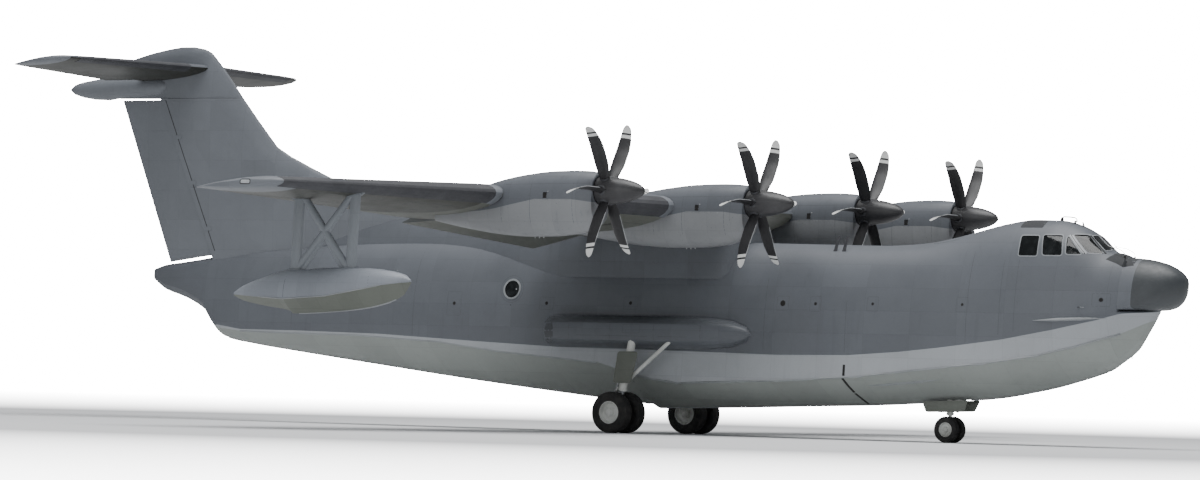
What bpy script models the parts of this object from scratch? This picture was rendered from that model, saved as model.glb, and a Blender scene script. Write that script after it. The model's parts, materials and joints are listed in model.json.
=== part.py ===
"""Flying boat with four propellers, a T-tail and wing floats, parked on its landing gear.

Metres, +X towards the nose, +Y to port, +Z up. The origin is on the ground, in the middle of the length.
"""
import math

import bmesh
import bpy
import numpy as np
from mathutils import Matrix, Vector

# Driving sizes
SEAT = 0.0003            # gap left between pieces that touch
NOSE_X = 16.60           # radome tip
RADOME_X = 15.15         # bulkhead that carries the radome
RADOME_Z = 3.28          # flat sill under the radome
RADOME_TOP = 4.51        # top of the radome's foot
RADOME_HALF = 0.78       # half width of the radome's foot
RADOME_TIP_Z = 3.91
COCKPIT_X = 11.30        # joint between the forward hull and the main hull
TAIL_X = -16.60          # aft end of the fin-top bullet
HUB_Z = (5.65, 5.71)     # inboard and outboard propeller axes
ENGINE_Y = (2.69, 8.63)  # inboard and outboard engines
HUB_X = (6.52, 5.98)     # blade planes, inboard and outboard
BLADE_R = 1.74
WHEEL_X = (2.00, 10.33)  # main and nose axles
TRACK = 3.56
MAIN_TYRE = (0.508, 0.356, 0.135)   # radius, width, half spacing beyond half width
NOSE_TYRE = (0.3175, 0.171, 0.06)
RUN_GAP = 0.012          # running gap at hinged surfaces
PIN_R = (0.020, 0.006)   # hinge pin, root and point

# Hull sections: x, keel z, chine y, chine z, side y, side z, top z, roundness of the upper body
FORE = (
    (15.15, 2.13, 0.56, 2.70, 0.78, 3.22, 4.53, 2.1),
    (14.96, 2.00, 0.68, 2.62, 0.88, 3.14, 4.60, 2.2),
    (14.67, 1.84, 0.84, 2.52, 1.00, 3.02, 4.66, 2.4),
    (14.19, 1.67, 1.00, 2.38, 1.12, 2.88, 5.07, 2.3),
    (13.85, 1.57, 1.08, 2.29, 1.18, 2.80, 5.25, 2.2),
    (13.27, 1.41, 1.18, 2.15, 1.24, 2.68, 5.39, 2.2),
    (12.55, 1.26, 1.24, 2.01, 1.26, 2.53, 5.40, 2.2),
    (11.90, 1.14, 1.28, 1.93, 1.27, 2.43, 5.31, 2.2),
    (11.30, 1.07, 1.30, 1.86, 1.27, 2.36, 5.17, 2.2),
)
BOW = (
    (15.152, 2.13, 0.56, 2.70, 0.78, 3.20, 3.279, 2.1),
    (15.40, 2.34, 0.40, 2.80, 0.60, 3.20, 3.279, 2.1),
    (15.64, 2.72, 0.24, 2.95, 0.38, 3.20, 3.279, 2.1),
    (15.82, 3.04, 0.11, 3.12, 0.18, 3.22, 3.279, 2.1),
    (15.92, 3.22, 0.02, 3.23, 0.03, 3.25, 3.279, 2.1),
)
MID = (
    (11.30, 1.07, 1.30, 1.86, 1.27, 2.36, 5.17, 2.2),
    (10.50, 1.02, 1.31, 1.79, 1.28, 2.28, 4.96, 2.3),
    (9.60, 0.95, 1.32, 1.68, 1.29, 2.16, 4.80, 2.5),
    (8.50, 0.88, 1.32, 1.55, 1.29, 2.06, 4.74, 2.6),
    (6.20, 0.79, 1.32, 1.40, 1.29, 2.01, 4.76, 2.6),
    (4.70, 0.73, 1.32, 1.29, 1.29, 2.04, 4.78, 2.6),
    (3.40, 0.69, 1.32, 1.28, 1.29, 2.06, 4.80, 2.6),
    (2.70, 0.67, 1.32, 1.36, 1.29, 2.07, 4.80, 2.6),
    (2.05, 0.65, 1.32, 1.48, 1.29, 2.08, 4.80, 2.6),
    (1.91, 0.73, 1.32, 1.50, 1.29, 2.08, 4.80, 2.6),
    (1.05, 0.81, 1.33, 1.74, 1.29, 2.09, 4.80, 2.6),
    (-0.40, 0.94, 1.33, 1.85, 1.29, 2.10, 4.80, 2.6),
    (-1.90, 1.08, 1.30, 1.96, 1.28, 2.16, 4.80, 2.6),
    (-3.80, 1.27, 1.24, 2.17, 1.24, 2.24, 4.78, 2.5),
    (-6.40, 1.56, 1.08, 2.29, 1.09, 2.35, 4.70, 2.3),
    (-8.60, 1.81, 0.87, 2.31, 0.88, 2.37, 4.56, 2.2),
    (-10.40, 2.03, 0.62, 2.34, 0.64, 2.40, 4.42, 2.1),
    (-11.35, 2.20, 0.42, 2.42, 0.46, 2.50, 4.32, 2.0),
    (-11.80, 2.76, 0.30, 2.90, 0.40, 3.05, 4.25, 2.0),
    (-12.60, 3.18, 0.20, 3.26, 0.30, 3.40, 4.13, 2.0),
    (-13.30, 3.40, 0.10, 3.45, 0.16, 3.56, 4.04, 2.0),
    (-13.68, 3.66, 0.02, 3.68, 0.03, 3.74, 3.92, 2.0),
)

# Saddle over the hull that carries the wing and runs aft into the fin: x, half width, base z, top z, roundness
SADDLE = (
    (4.84, 0.60, 4.20, 4.74, 2.4),
    (4.74, 0.90, 4.00, 5.10, 2.6),
    (4.62, 1.04, 3.90, 5.55, 2.8),
    (4.40, 1.10, 3.85, 5.82, 3.0),
    (4.05, 1.12, 3.85, 5.93, 3.0),
    (3.40, 1.13, 3.85, 5.93, 3.0),
    (2.40, 1.13, 3.85, 5.83, 3.0),
    (1.00, 1.13, 3.85, 5.72, 3.0),
    (-0.30, 1.10, 3.85, 5.62, 2.8),
    (-1.20, 1.02, 3.95, 5.55, 2.5),
    (-2.20, 0.88, 4.10, 5.48, 2.1),
    (-3.40, 0.68, 4.30, 5.42, 1.7),
    (-4.80, 0.50, 4.35, 5.44, 1.5),
    (-6.20, 0.38, 4.35, 5.50, 1.4),
    (-7.60, 0.28, 4.30, 5.40, 1.3),
    (-8.70, 0.20, 4.20, 5.00, 1.2),
)

# Wing: y, leading x, leading z, trailing x, trailing z, thickness ratio
WING = (
    (0.0, 4.90, 5.55, -0.98, 4.88, 0.150),
    (7.3, 3.58, 5.61, -0.90, 5.11, 0.156),
    (9.4, 3.18, 5.630, -0.80, 5.20, 0.158),
    (16.0, 2.11, 5.605, -0.38, 5.44, 0.122),
)
TIP_JOINT_Y = 15.57
# Rounded wing tip: y, share of the section kept
TIP_SHRINK = (
    (15.5703, 1.0), (16.00, 1.0), (16.22, 0.97), (16.40, 0.86), (16.52, 0.66), (16.58, 0.34),
)
CENTRE_JOINT_Y = 7.25    # centre wing to nacelle bay
OUTER_JOINT_Y = 9.45     # nacelle bay to outer wing
FLAP_Y = (1.42, 7.22)
AILERON_Y = (9.48, 15.54)
FLAP_U = 0.75            # hinge line as a share of the chord
AILERON_U = 0.76
FLAP_LIP = math.radians(42)   # where the fixed lower skin ends ahead of the flap, from straight forward
FLAP_DROOP = (0.40, 0.14)   # how far the flap's trailing edge hangs at its root and end

# Tail surfaces
TAIL_HALF = 5.35
TAIL_ROOT = (-12.02, 9.22, -15.05, 8.87)   # leading x, z, trailing x, z at the centre line
TAIL_TIP = (-12.88, 9.22, -14.46, 9.02)
ELEVATOR_U = 0.70
ELEVATOR_Y = (0.62, 4.95)
TAIL_JOINT_Y = 4.97

MATERIALS = {
    "paint_dark": ((0.155, 0.170, 0.195), 0.55, 0.0),
    "paint_light": ((0.290, 0.305, 0.325), 0.50, 0.0),
    "radome_grey": ((0.058, 0.065, 0.072), 0.45, 0.0),
    "prop_black": ((0.025, 0.025, 0.028), 0.50, 0.0),
    "gear_white": ((0.620, 0.630, 0.620), 0.40, 0.0),
    "tyre_rubber": ((0.020, 0.020, 0.021), 0.85, 0.0),
    "clear_glass": ((0.050, 0.065, 0.075), 0.08, 0.0),
    "seat_cloth": ((0.060, 0.070, 0.055), 0.90, 0.0),
    "engine_grey": ((0.180, 0.180, 0.185), 0.45, 0.6),
    "bare_metal": ((0.450, 0.455, 0.460), 0.35, 0.9),
}


def clear_scene():
    for item in list(bpy.data.objects):
        bpy.data.objects.remove(item, do_unlink=True)


def material(name):
    """The named paint, rubber or glass, made once."""
    found = bpy.data.materials.get(name)
    if found:
        return found
    colour, roughness, metallic = MATERIALS[name]
    made = bpy.data.materials.new(name)
    made.use_nodes = True
    shader = made.node_tree.nodes["Principled BSDF"]
    shader.inputs["Base Color"].default_value = (*colour, 1.0)
    shader.inputs["Roughness"].default_value = roughness
    shader.inputs["Metallic"].default_value = metallic
    return made


def finish(name, mesh_data, finish_name, origin=(0.0, 0.0, 0.0)):
    """Turn a bmesh built in world space into an object whose origin is at the given point."""
    bmesh.ops.triangulate(mesh_data, faces=mesh_data.faces)
    bmesh.ops.recalc_face_normals(mesh_data, faces=mesh_data.faces)
    bmesh.ops.translate(mesh_data, verts=mesh_data.verts, vec=-Vector(origin))
    mesh = bpy.data.meshes.new(name)
    mesh_data.to_mesh(mesh)
    mesh_data.free()
    mesh.materials.append(material(finish_name))
    mesh.shade_smooth()
    mesh.set_sharp_from_angle(angle=math.radians(35))
    made = bpy.data.objects.new(name, mesh)
    made.location = origin
    bpy.context.scene.collection.objects.link(made)
    return made


def add_loft(bm, rings):
    """Skin a list of closed rings with the same number of points, and cap both ends."""
    loops = [[bm.verts.new(point) for point in ring] for ring in rings]
    count = len(loops[0])
    for near, far in zip(loops, loops[1:]):
        for index in range(count):
            after = (index + 1) % count
            bm.faces.new((near[index], near[after], far[after], far[index]))
    bm.faces.new(list(reversed(loops[0])))
    bm.faces.new(loops[-1])


def loft(name, rings, finish_name, origin=(0.0, 0.0, 0.0)):
    bm = bmesh.new()
    add_loft(bm, rings)
    return finish(name, bm, finish_name, origin)


def hide(guide):
    guide.hide_render = True
    guide.hide_viewport = False
    guide.display_type = "WIRE"
    return guide


def carve(target, tool, gap=SEAT):
    """Cut one piece back to the face of another, leaving the seat gap."""
    cutter = tool.copy()
    cutter.data = tool.data.copy()
    cutter.name = f"cut_{target.name}_{tool.name}"[:58]
    bpy.context.scene.collection.objects.link(cutter)
    if gap:
        swell = cutter.modifiers.new("seat gap", "DISPLACE")
        swell.strength = gap * 2
        swell.mid_level = 0.0
    subtract(target, hide(cutter))
    return cutter


def subtract(target, cutter, operation="DIFFERENCE"):
    cut = target.modifiers.new(f"with {cutter.name}"[:58], "BOOLEAN")
    cut.operation = operation
    cut.solver = "EXACT"
    cut.object = cutter


def smooth_table(rows, x):
    """Read a station table at any x, with straight runs between its rows."""
    columns = list(zip(*sorted(rows)))
    return [float(np.interp(x, columns[0], column)) for column in columns[1:]]


# Hull

UPPER_STEPS = 9


def hull_half(row):
    """Half a hull section from keel to crown: V bottom, chine, flared strip, rounded upper body."""
    x, keel, cy, cz, sy, sz, top, n = row
    half = [(0.0, keel), (0.52 * cy, keel + 0.42 * (cz - keel)), (cy, cz), (sy, sz)]
    for step in range(1, UPPER_STEPS + 1):
        angle = 0.5 * math.pi * step / UPPER_STEPS
        y = sy * max(math.cos(angle), 0.0) ** (2 / n)
        z = sz + (top - sz) * math.sin(angle) ** (2 / n)
        half.append((y if step < UPPER_STEPS else 0.0, z))
    return half


def saddle_ring(x, wide, base, top, n):
    """Section of the saddle: flat base inside the hull, rounded crown."""
    half = [(0.0, base), (wide, base)]
    for step in range(1, UPPER_STEPS + 1):
        angle = 0.5 * math.pi * step / UPPER_STEPS
        y = wide * max(math.cos(angle), 0.0) ** (2 / n)
        half.append((y if step < UPPER_STEPS else 0.0, base + (top - base) * math.sin(angle) ** (2 / n)))
    return whole_ring(x, half)


def whole_ring(x, half):
    """Mirror a half section that starts and ends on the centre line."""
    right = [(x, -y, z) for y, z in half]
    left = [(x, y, z) for y, z in reversed(half[1:-1])]
    return right + left


def hull_rings(rows):
    return [whole_ring(row[0], hull_half(row)) for row in rows]


def upper_ring(row, inset, floor):
    """The part of a hull section above a floor, moved inwards by the wall thickness."""
    x, _, _, _, sy, sz, top, n = row
    wide = sy - inset
    high = top - inset - sz
    rise = min(max((floor - sz) / high, 0.0), 0.98)
    start = math.asin(rise ** (n / 2))
    half = [(0.0, floor)]
    for step in range(UPPER_STEPS + 1):
        angle = start + (0.5 * math.pi - start) * step / UPPER_STEPS
        y = wide * max(math.cos(angle), 0.0) ** (2 / n)
        z = sz + high * math.sin(angle) ** (2 / n)
        half.append((y if step < UPPER_STEPS else 0.0, max(z, floor)))
    return whole_ring(x, half)


WALL = 0.035
FLOOR_Z = 3.75
CABIN_X = (11.55, 14.76)
GLAZED = ((12.48, 14.70), (4.47, 5.14))    # x and z spans of the glazing band behind the posts
# Side windows: aft x at sill and top, fore x at sill and top, sill z, top z, inner reach of the cut
SIDE_WINDOWS = (
    ("side_pane_1", 12.60, 12.55, 13.10, 13.03, 4.51, 5.00, 0.30),
    ("side_pane_2", 13.24, 13.13, 13.73, 13.62, 4.53, 5.02, 0.30),
    ("side_pane_3", 13.82, 13.73, 14.20, 13.77, 4.56, 4.99, 0.30),
    ("side_pane_4", 14.32, 13.84, 14.60, 14.16, 4.60, 5.04, 0.35),
)
# Windscreen panes: inner y, outer y
SCREEN_PANES = (("screen_inner", 0.03, 0.30),)
SCREEN_FOOT = (14.62, 4.70)
SCREEN_HEAD = (14.22, 5.02)
SCREEN_REACH = (0.24, 0.14)   # how far the screen cuts reach inwards and outwards


def prism(name, outline, axis, low, high):
    """A closed prism: a flat outline pushed along one axis, used as a cutter or a plain block."""
    bm = bmesh.new()
    places = {
        "y": lambda a, b, c: (a, c, b),
        "x": lambda a, b, c: (c, a, b),
        "z": lambda a, b, c: (a, b, c),
    }
    place = places[axis]
    add_loft(bm, [[place(a, b, low) for a, b in outline], [place(a, b, high) for a, b in outline]])
    bmesh.ops.recalc_face_normals(bm, faces=bm.faces)
    mesh = bpy.data.meshes.new(name)
    bm.to_mesh(mesh)
    bm.free()
    made = bpy.data.objects.new(name, mesh)
    bpy.context.scene.collection.objects.link(made)
    return hide(made)


def inset_edge(foot, head, rise, trim):
    """Move a slanted window edge square to itself by the trim, and shorten it by as much at both ends."""
    lean = (head - foot) / rise
    shift = math.copysign(abs(trim) * math.hypot(1.0, lean), trim)
    return foot + lean * abs(trim) + shift, head - lean * abs(trim) + shift


def side_cutters(trim):
    """Prisms through the flight deck's side walls; trim makes them smaller for the glass."""
    cutters = []
    for name, aft_sill, aft_top, fore_sill, fore_top, sill, top, reach in SIDE_WINDOWS:
        aft = inset_edge(aft_sill, aft_top, top - sill, trim)
        fore = inset_edge(fore_sill, fore_top, top - sill, -trim)
        outline = [
            (aft[0], sill + trim),
            (fore[0], sill + trim),
            (fore[1], top - trim),
            (aft[1], top - trim),
        ]
        for side in (-1, 1):
            low, high = sorted((side * (reach + trim), side * 1.5))
            cutters.append(prism(f"{name}_{side}_{trim}", outline, "y", low, high))
    return join_guides(f"side_panes_{trim}", cutters)


def screen_cutters(trim):
    """Prisms through the windscreen's slope, one per pane."""
    cutters = []
    slope = Vector((SCREEN_HEAD[0] - SCREEN_FOOT[0], SCREEN_HEAD[1] - SCREEN_FOOT[1]))
    along = slope.normalized()
    across = Vector((along.y, -along.x))
    foot = Vector(SCREEN_FOOT) + along * trim
    head = Vector(SCREEN_HEAD) - along * trim
    outline = [
        tuple(foot - across * (SCREEN_REACH[0] - trim)),
        tuple(foot + across * SCREEN_REACH[1]),
        tuple(head + across * SCREEN_REACH[1]),
        tuple(head - across * (SCREEN_REACH[0] - trim)),
    ]
    for name, inner, outer in SCREEN_PANES:
        for side in (-1, 1):
            low, high = sorted((side * (inner + trim), side * (outer - trim)))
            cutters.append(prism(f"{name}_{side}_{trim}", outline, "y", low, high))
    return join_guides(f"screen_panes_{trim}", cutters)


def join_guides(name, guides):
    """One hidden guide from several that don't touch."""
    bm = bmesh.new()
    for guide in guides:
        bm.from_mesh(guide.data)
        bpy.data.objects.remove(guide, do_unlink=True)
    mesh = bpy.data.meshes.new(name)
    bm.to_mesh(mesh)
    bm.free()
    made = bpy.data.objects.new(name, mesh)
    bpy.context.scene.collection.objects.link(made)
    return hide(made)


def cabin_rows():
    inside = [row for row in FORE if CABIN_X[0] < row[0] < CABIN_X[1]]
    ends = [(x, *smooth_table(FORE, x)) for x in CABIN_X]
    return sorted(inside + ends, reverse=True)


def build_hull():
    fore_rings = list(reversed(hull_rings(BOW))) + hull_rings(FORE)
    fore_rings[-1] = [(COCKPIT_X + SEAT, y, z) for _, y, z in fore_rings[-1]]
    forward = loft("hull_forward", fore_rings, "paint_dark")
    cavity = hide(loft("cabin_space", [upper_ring(row, WALL, FLOOR_Z) for row in cabin_rows()], "paint_dark"))
    subtract(forward, cavity)
    subtract(forward, side_cutters(0.0))
    subtract(forward, screen_cutters(0.0))
    main = loft("hull_main", hull_rings(MID), "paint_dark")
    saddle = loft("wing_saddle", [saddle_ring(*row) for row in SADDLE], "paint_dark")
    subtract(main, hide(saddle), "UNION")
    build_glazing()
    return forward, main


def shell(name, outer_inset, inner_inset, rows):
    """A thin closed shell that follows the flight deck wall: a guide for the glazing."""
    body = loft(name, [upper_ring(row, outer_inset, FLOOR_Z) for row in rows], "clear_glass")
    inner = [upper_ring(row, inner_inset, FLOOR_Z + 0.02) for row in rows]
    inner[0] = [(x - 0.02, y, z) for x, y, z in inner[0]]
    inner[-1] = [(x + 0.02, y, z) for x, y, z in inner[-1]]
    subtract(body, hide(loft(f"{name}_core", inner, "clear_glass")))
    return body


def build_glazing():
    """Panes flush in the window cuts, joined behind the posts by a thin glazing band."""
    rows = cabin_rows()
    glass = shell("flight_deck_glass", WALL + 0.0015, WALL + 0.012, rows)
    (x0, x1), (z0, z1) = GLAZED
    band = prism("glazing_band", [(x0, z0), (x1, z0), (x1, z1), (x0, z1)], "y", -1.3, 1.3)
    subtract(glass, band, "INTERSECT")
    for name, cutters in (("side_pane_shell", side_cutters), ("screen_pane_shell", screen_cutters)):
        pane = hide(shell(name, 0.006, WALL + 0.006, rows))
        subtract(pane, cutters(0.0008), "INTERSECT")
        subtract(glass, pane, "UNION")
    return glass


def build_radome():
    """Dark nose cone: flat-bottomed where it sits on the bow's sill, rounder towards its tip."""
    rings = []
    length = NOSE_X - RADOME_X
    for share in (0.0, 0.18, 0.36, 0.54, 0.70, 0.83, 0.92, 0.975, 0.998):
        x = RADOME_X + 0.0025 + length * share
        bulge = (1 - share ** 2.1) ** 0.5
        top = RADOME_TIP_Z + (RADOME_TOP - RADOME_TIP_Z) * bulge
        low = RADOME_TIP_Z - (RADOME_TIP_Z - RADOME_Z - SEAT) * (1 - share ** 5.0) ** 0.5
        widest = low + 0.03 + (RADOME_TIP_Z - low - 0.03) * share ** 1.3
        ring = []
        for step in range(20):
            angle = 2 * math.pi * step / 20
            y = RADOME_HALF * bulge * math.copysign(abs(math.cos(angle)) ** 0.94, math.cos(angle))
            high = top if math.sin(angle) > 0 else low
            ring.append((x, y, widest + (high - widest) * abs(math.sin(angle)) ** 0.94))
        rings.append(ring)
    return loft("radome", rings, "radome_grey")


def build_cockpit():
    """Two seats on one base frame, and the panel with its shroud, resting on the flight deck floor."""
    bm = bmesh.new()
    add_box(bm, (13.06, -0.74, FLOOR_Z + SEAT), (13.70, 0.74, FLOOR_Z + 0.05))
    seats = finish("flight_deck_seats", bm, "seat_cloth")
    for side in (-1, 1):
        middle = side * 0.46
        for number, (low, high) in enumerate((
                ((13.18, middle - 0.22, FLOOR_Z + 0.03), (13.66, middle + 0.22, FLOOR_Z + 0.36)),
                ((13.08, middle - 0.21, FLOOR_Z + 0.03), (13.22, middle + 0.21, FLOOR_Z + 0.98)))):
            part = bmesh.new()
            add_box(part, low, high)
            subtract(seats, hide(finish(f"seat_part_{side}_{number}", part, "seat_cloth")), "UNION")
    bm = bmesh.new()
    outline = [(14.02, FLOOR_Z + SEAT), (14.34, FLOOR_Z + SEAT), (14.34, 4.38), (14.10, 4.44), (13.94, 4.34)]
    add_loft(bm, [[(x, y, z) for x, z in outline] for y in (-0.74, 0.74)])
    panel = finish("instrument_panel", bm, "prop_black")
    return seats, panel


def add_box(bm, low, high):
    (x0, y0, z0), (x1, y1, z1) = low, high
    add_loft(bm, [[(x, y0, z0), (x, y1, z0), (x, y1, z1), (x, y0, z1)] for x in (x0, x1)])


def add_tube(bm, start, end, radius, sides=16, end_radius=None):
    """A closed round bar between two points."""
    start, end = Vector(start), Vector(end)
    along = (end - start).normalized()
    across = along.orthogonal().normalized()
    beside = along.cross(across)
    rings = []
    for point, r in ((start, radius), (end, end_radius or radius)):
        ring = []
        for step in range(sides):
            angle = 2 * math.pi * step / sides
            ring.append(tuple(point + across * r * math.cos(angle) + beside * r * math.sin(angle)))
        rings.append(ring)
    add_loft(bm, rings)


# Wings and tail surfaces

def half_thickness(u, ratio):
    """Symmetric aerofoil with a finite trailing edge, as a share of the chord."""
    shape = 0.2969 * math.sqrt(u) - 0.1260 * u - 0.3516 * u * u + 0.2843 * u ** 3 - 0.1015 * u ** 4
    return 5 * ratio * shape + 0.0008 * u


NOSE_SHARES = (0.0, 0.006, 0.025, 0.06, 0.12, 0.21, 0.33, 0.46, 0.58)


def fixed_section(chord, ratio, hinge, low_lip=None):
    """Front part of an aerofoil, ending in a round cove about the hinge: (aft, up) points."""
    r = half_thickness(hinge, ratio) * chord
    cove = r + RUN_GAP
    centre = hinge * chord
    lip_u = hinge
    while math.hypot((hinge - lip_u) * chord, half_thickness(lip_u, ratio) * chord) < cove:
        lip_u -= 0.0005
    lip = (lip_u * chord, half_thickness(lip_u, ratio) * chord)
    start = math.atan2(lip[1], centre - lip[0])
    end = low_lip or start
    low_u = (centre - cove * math.cos(end)) / chord
    upper = [(u * chord, half_thickness(u, ratio) * chord) for u in NOSE_SHARES if u < lip_u - 0.02]
    lower = [(u * chord, -half_thickness(u, ratio) * chord) for u in NOSE_SHARES[1:] if u < low_u - 0.02]
    arc = []
    for step in range(1, 8):
        angle = start - (start + end) * step / 8
        arc.append((centre - cove * math.cos(angle), cove * math.sin(angle)))
    if low_lip:
        arc.append((low_u * chord, -cove * math.sin(end)))
    foot = (low_u * chord, -half_thickness(low_u, ratio) * chord)
    return upper + [lip] + arc + [foot] + lower[::-1]


def moving_section(chord, ratio, hinge):
    """Rear part of an aerofoil with a round nose on the hinge: (aft, up) points."""
    r = half_thickness(hinge, ratio) * chord
    centre = hinge * chord
    points = []
    for step in range(7):
        angle = 0.5 * math.pi - math.pi * step / 6
        points.append((centre - r * math.cos(angle), r * math.sin(angle)))
    tail = [(u * chord, half_thickness(u, ratio) * chord) for u in (1.0, 0.5 * (1 + hinge))]
    lower = [(a, -b) for a, b in reversed(tail)]
    return points + lower + tail


def whole_section(chord, ratio):
    """A full closed aerofoil: (aft, up) points."""
    shares = NOSE_SHARES + (0.74, 0.88, 1.0)
    upper = [(u * chord, half_thickness(u, ratio) * chord) for u in shares]
    lower = [(a, -b) for a, b in upper[1:]]
    return upper + lower[::-1]


def wing_row(y):
    return smooth_table(WING, abs(y))


def place_wing(y, section, drop=0.0, hinge=0.0):
    """Put an (aft, up) section on the wing at y, turned to the chord line; drop turns it about the hinge."""
    lead_x, lead_z, trail_x, trail_z, _ = wing_row(y)
    chord = math.hypot(lead_x - trail_x, lead_z - trail_z)
    fall = math.atan2(lead_z - trail_z, lead_x - trail_x)
    extra = math.atan2(drop, chord * (1 - hinge)) if drop else 0.0
    pivot = hinge * chord
    ring = []
    for aft, up in section:
        da, du = aft - pivot, up
        aft2 = pivot + da * math.cos(extra) + du * math.sin(extra)
        up2 = -da * math.sin(extra) + du * math.cos(extra)
        x = lead_x - aft2 * math.cos(fall) - up2 * math.sin(fall)
        z = lead_z - aft2 * math.sin(fall) + up2 * math.cos(fall)
        ring.append((x, y, z))
    return ring


def wing_chord(y):
    lead_x, lead_z, trail_x, trail_z, ratio = wing_row(y)
    return math.hypot(lead_x - trail_x, lead_z - trail_z), ratio


def wing_ring(y, kind, hinge, low_lip=None):
    chord, ratio = wing_chord(y)
    if kind == "fixed":
        return place_wing(y, fixed_section(chord, ratio, hinge, low_lip))
    if kind == "moving":
        return place_wing(y, moving_section(chord, ratio, hinge))
    return place_wing(y, whole_section(chord, ratio))


def wing_point(y, hinge):
    """World point on the hinge line."""
    return place_wing(y, [(hinge * wing_chord(y)[0], 0.0)])[0]


def build_wing():
    """Centre wing, nacelle bays, outer wings with rounded tips, flaps and ailerons."""
    centre_y = (-CENTRE_JOINT_Y, 0.0, CENTRE_JOINT_Y)
    rings = [wing_ring(y, "fixed", FLAP_U, FLAP_LIP) for y in centre_y]
    pieces = {"centre": loft("wing_centre", rings, "paint_light")}
    for side, word in ((-1, "right"), (1, "left")):
        spans = [side * (CENTRE_JOINT_Y + SEAT), side * OUTER_JOINT_Y]
        pieces[f"bay_{word}"] = loft(
            f"wing_bay_{word}", [wing_ring(y, "whole", 0.0) for y in spans], "paint_light")
        spans = [side * (OUTER_JOINT_Y + SEAT), side * TIP_JOINT_Y]
        pieces[f"outer_{word}"] = loft(
            f"wing_outer_{word}", [wing_ring(y, "fixed", AILERON_U) for y in spans], "paint_light")
        rings = []
        for y, shrink in TIP_SHRINK:
            rings.append(shrunk(wing_ring(side * y, "whole", 0.0), shrink, 0.75))
        pieces[f"tip_{word}"] = loft(f"wing_tip_{word}", rings, "paint_light")
        rings = []
        for y, drop in zip(FLAP_Y, FLAP_DROOP):
            chord, ratio = wing_chord(y)
            rings.append(place_wing(side * y, moving_section(chord, ratio, FLAP_U), drop, FLAP_U))
        pieces[f"flap_{word}"] = loft(
            f"flap_{word}", rings, "paint_light", wing_point(side * FLAP_Y[0], FLAP_U))
        add_pin(pieces[f"flap_{word}"], wing_point(side * (FLAP_Y[1] - 0.05), FLAP_U),
                wing_point(side * CENTRE_JOINT_Y, FLAP_U))
        spans = [side * y for y in AILERON_Y]
        pieces[f"aileron_{word}"] = loft(
            f"aileron_{word}", [wing_ring(y, "moving", AILERON_U) for y in spans], "paint_light",
            wing_point(side * AILERON_Y[0], AILERON_U))
        for inside, end in ((AILERON_Y[0] + 0.05, OUTER_JOINT_Y + SEAT), (AILERON_Y[1] - 0.05, TIP_JOINT_Y)):
            add_pin(pieces[f"aileron_{word}"], wing_point(side * inside, AILERON_U),
                    wing_point(side * end, AILERON_U))
    return pieces


def add_pin(piece, start, end):
    """A tapered hinge pin on the hinge line, from inside a moving piece to the face that carries it."""
    bm = bmesh.new()
    add_tube(bm, start, end, PIN_R[0], 12, PIN_R[1])
    subtract(piece, hide(finish(f"pin_{piece.name}_{end[1]:.2f}", bm, "gear_white")), "UNION")


def shrunk(ring, shrink, aft_share):
    """A section drawn in towards a point on its chord line, for a rounded tip."""
    lead, trail = Vector(ring[0]), Vector(ring[len(ring) // 2])
    aim = lead + (trail - lead) * aft_share
    return [tuple(aim + (Vector(p) - aim) * shrink) for p in ring]


# Fin: z, leading x, rudder axis x, half thickness
FIN = (
    (4.10, -4.60, -11.66, 0.20),
    (4.45, -4.60, -11.80, 0.20),
    (5.00, -4.60, -12.04, 0.21),
    (5.30, -4.60, -12.17, 0.21),
    (5.70, -5.90, -12.34, 0.21),
    (6.00, -7.00, -12.48, 0.21),
    (6.30, -7.95, -12.61, 0.21),
    (6.60, -8.67, -12.74, 0.20),
    (6.90, -9.35, -12.88, 0.20),
    (7.15, -9.80, -12.99, 0.20),
    (7.80, -10.39, -13.27, 0.19),
    (8.42, -10.93, -13.54, 0.18),
)
# Fin cap: z, leading x, trailing x, half thickness
FIN_CAP = (
    (8.4203, -10.93, -14.95, 0.18),
    (8.80, -11.24, -15.00, 0.18),
    (9.30, -11.67, -15.00, 0.16),
    (9.50, -11.86, -14.42, 0.14),
    (9.62, -11.98, -13.95, 0.12),
    (9.72, -12.20, -13.42, 0.08),
    (9.78, -12.55, -12.98, 0.03),
)
RUDDER_Z = (4.33, 8.38)
RUDDER_TRAIL = ((-13.16, 4.11), (-14.87, 8.38))   # trailing edge x, z at the rudder's foot and head
RUDDER_NOSE = 0.13
FIN_SHARES = (0.0, 0.02, 0.06, 0.13, 0.24, 0.40, 0.60, 0.80)


def rudder_axis(z):
    return (float(np.interp(z, [row[0] for row in FIN], [row[2] for row in FIN])), 0.0, z)


def swell(share, half, rear):
    """Half thickness of the fin at a share of its length: round nose, full middle, thinner rear."""
    nose = min(1.0, (share / 0.30)) ** 0.5
    return half * nose if share < 0.30 else half + (rear - half) * ((share - 0.30) / 0.70) ** 1.5


def fin_ring(z, lead, axis_x, half):
    """Fin section that ends in a round cove about the rudder's axis."""
    cove = RUDDER_NOSE + RUN_GAP
    rear = cove + 0.006
    length = lead - axis_x
    right = [(lead - share * length, -swell(share, half, rear)) for share in FIN_SHARES]
    arc = [(axis_x + cove * math.sin(a), -cove * math.cos(a))
           for a in (math.pi * step / 8 for step in range(9))]
    left = [(x, -y) for x, y in reversed(right[1:])]
    outline = right + [(axis_x, -rear)] + arc + [(axis_x, rear)] + left
    return [(x, y, z) for x, y in outline]


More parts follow.
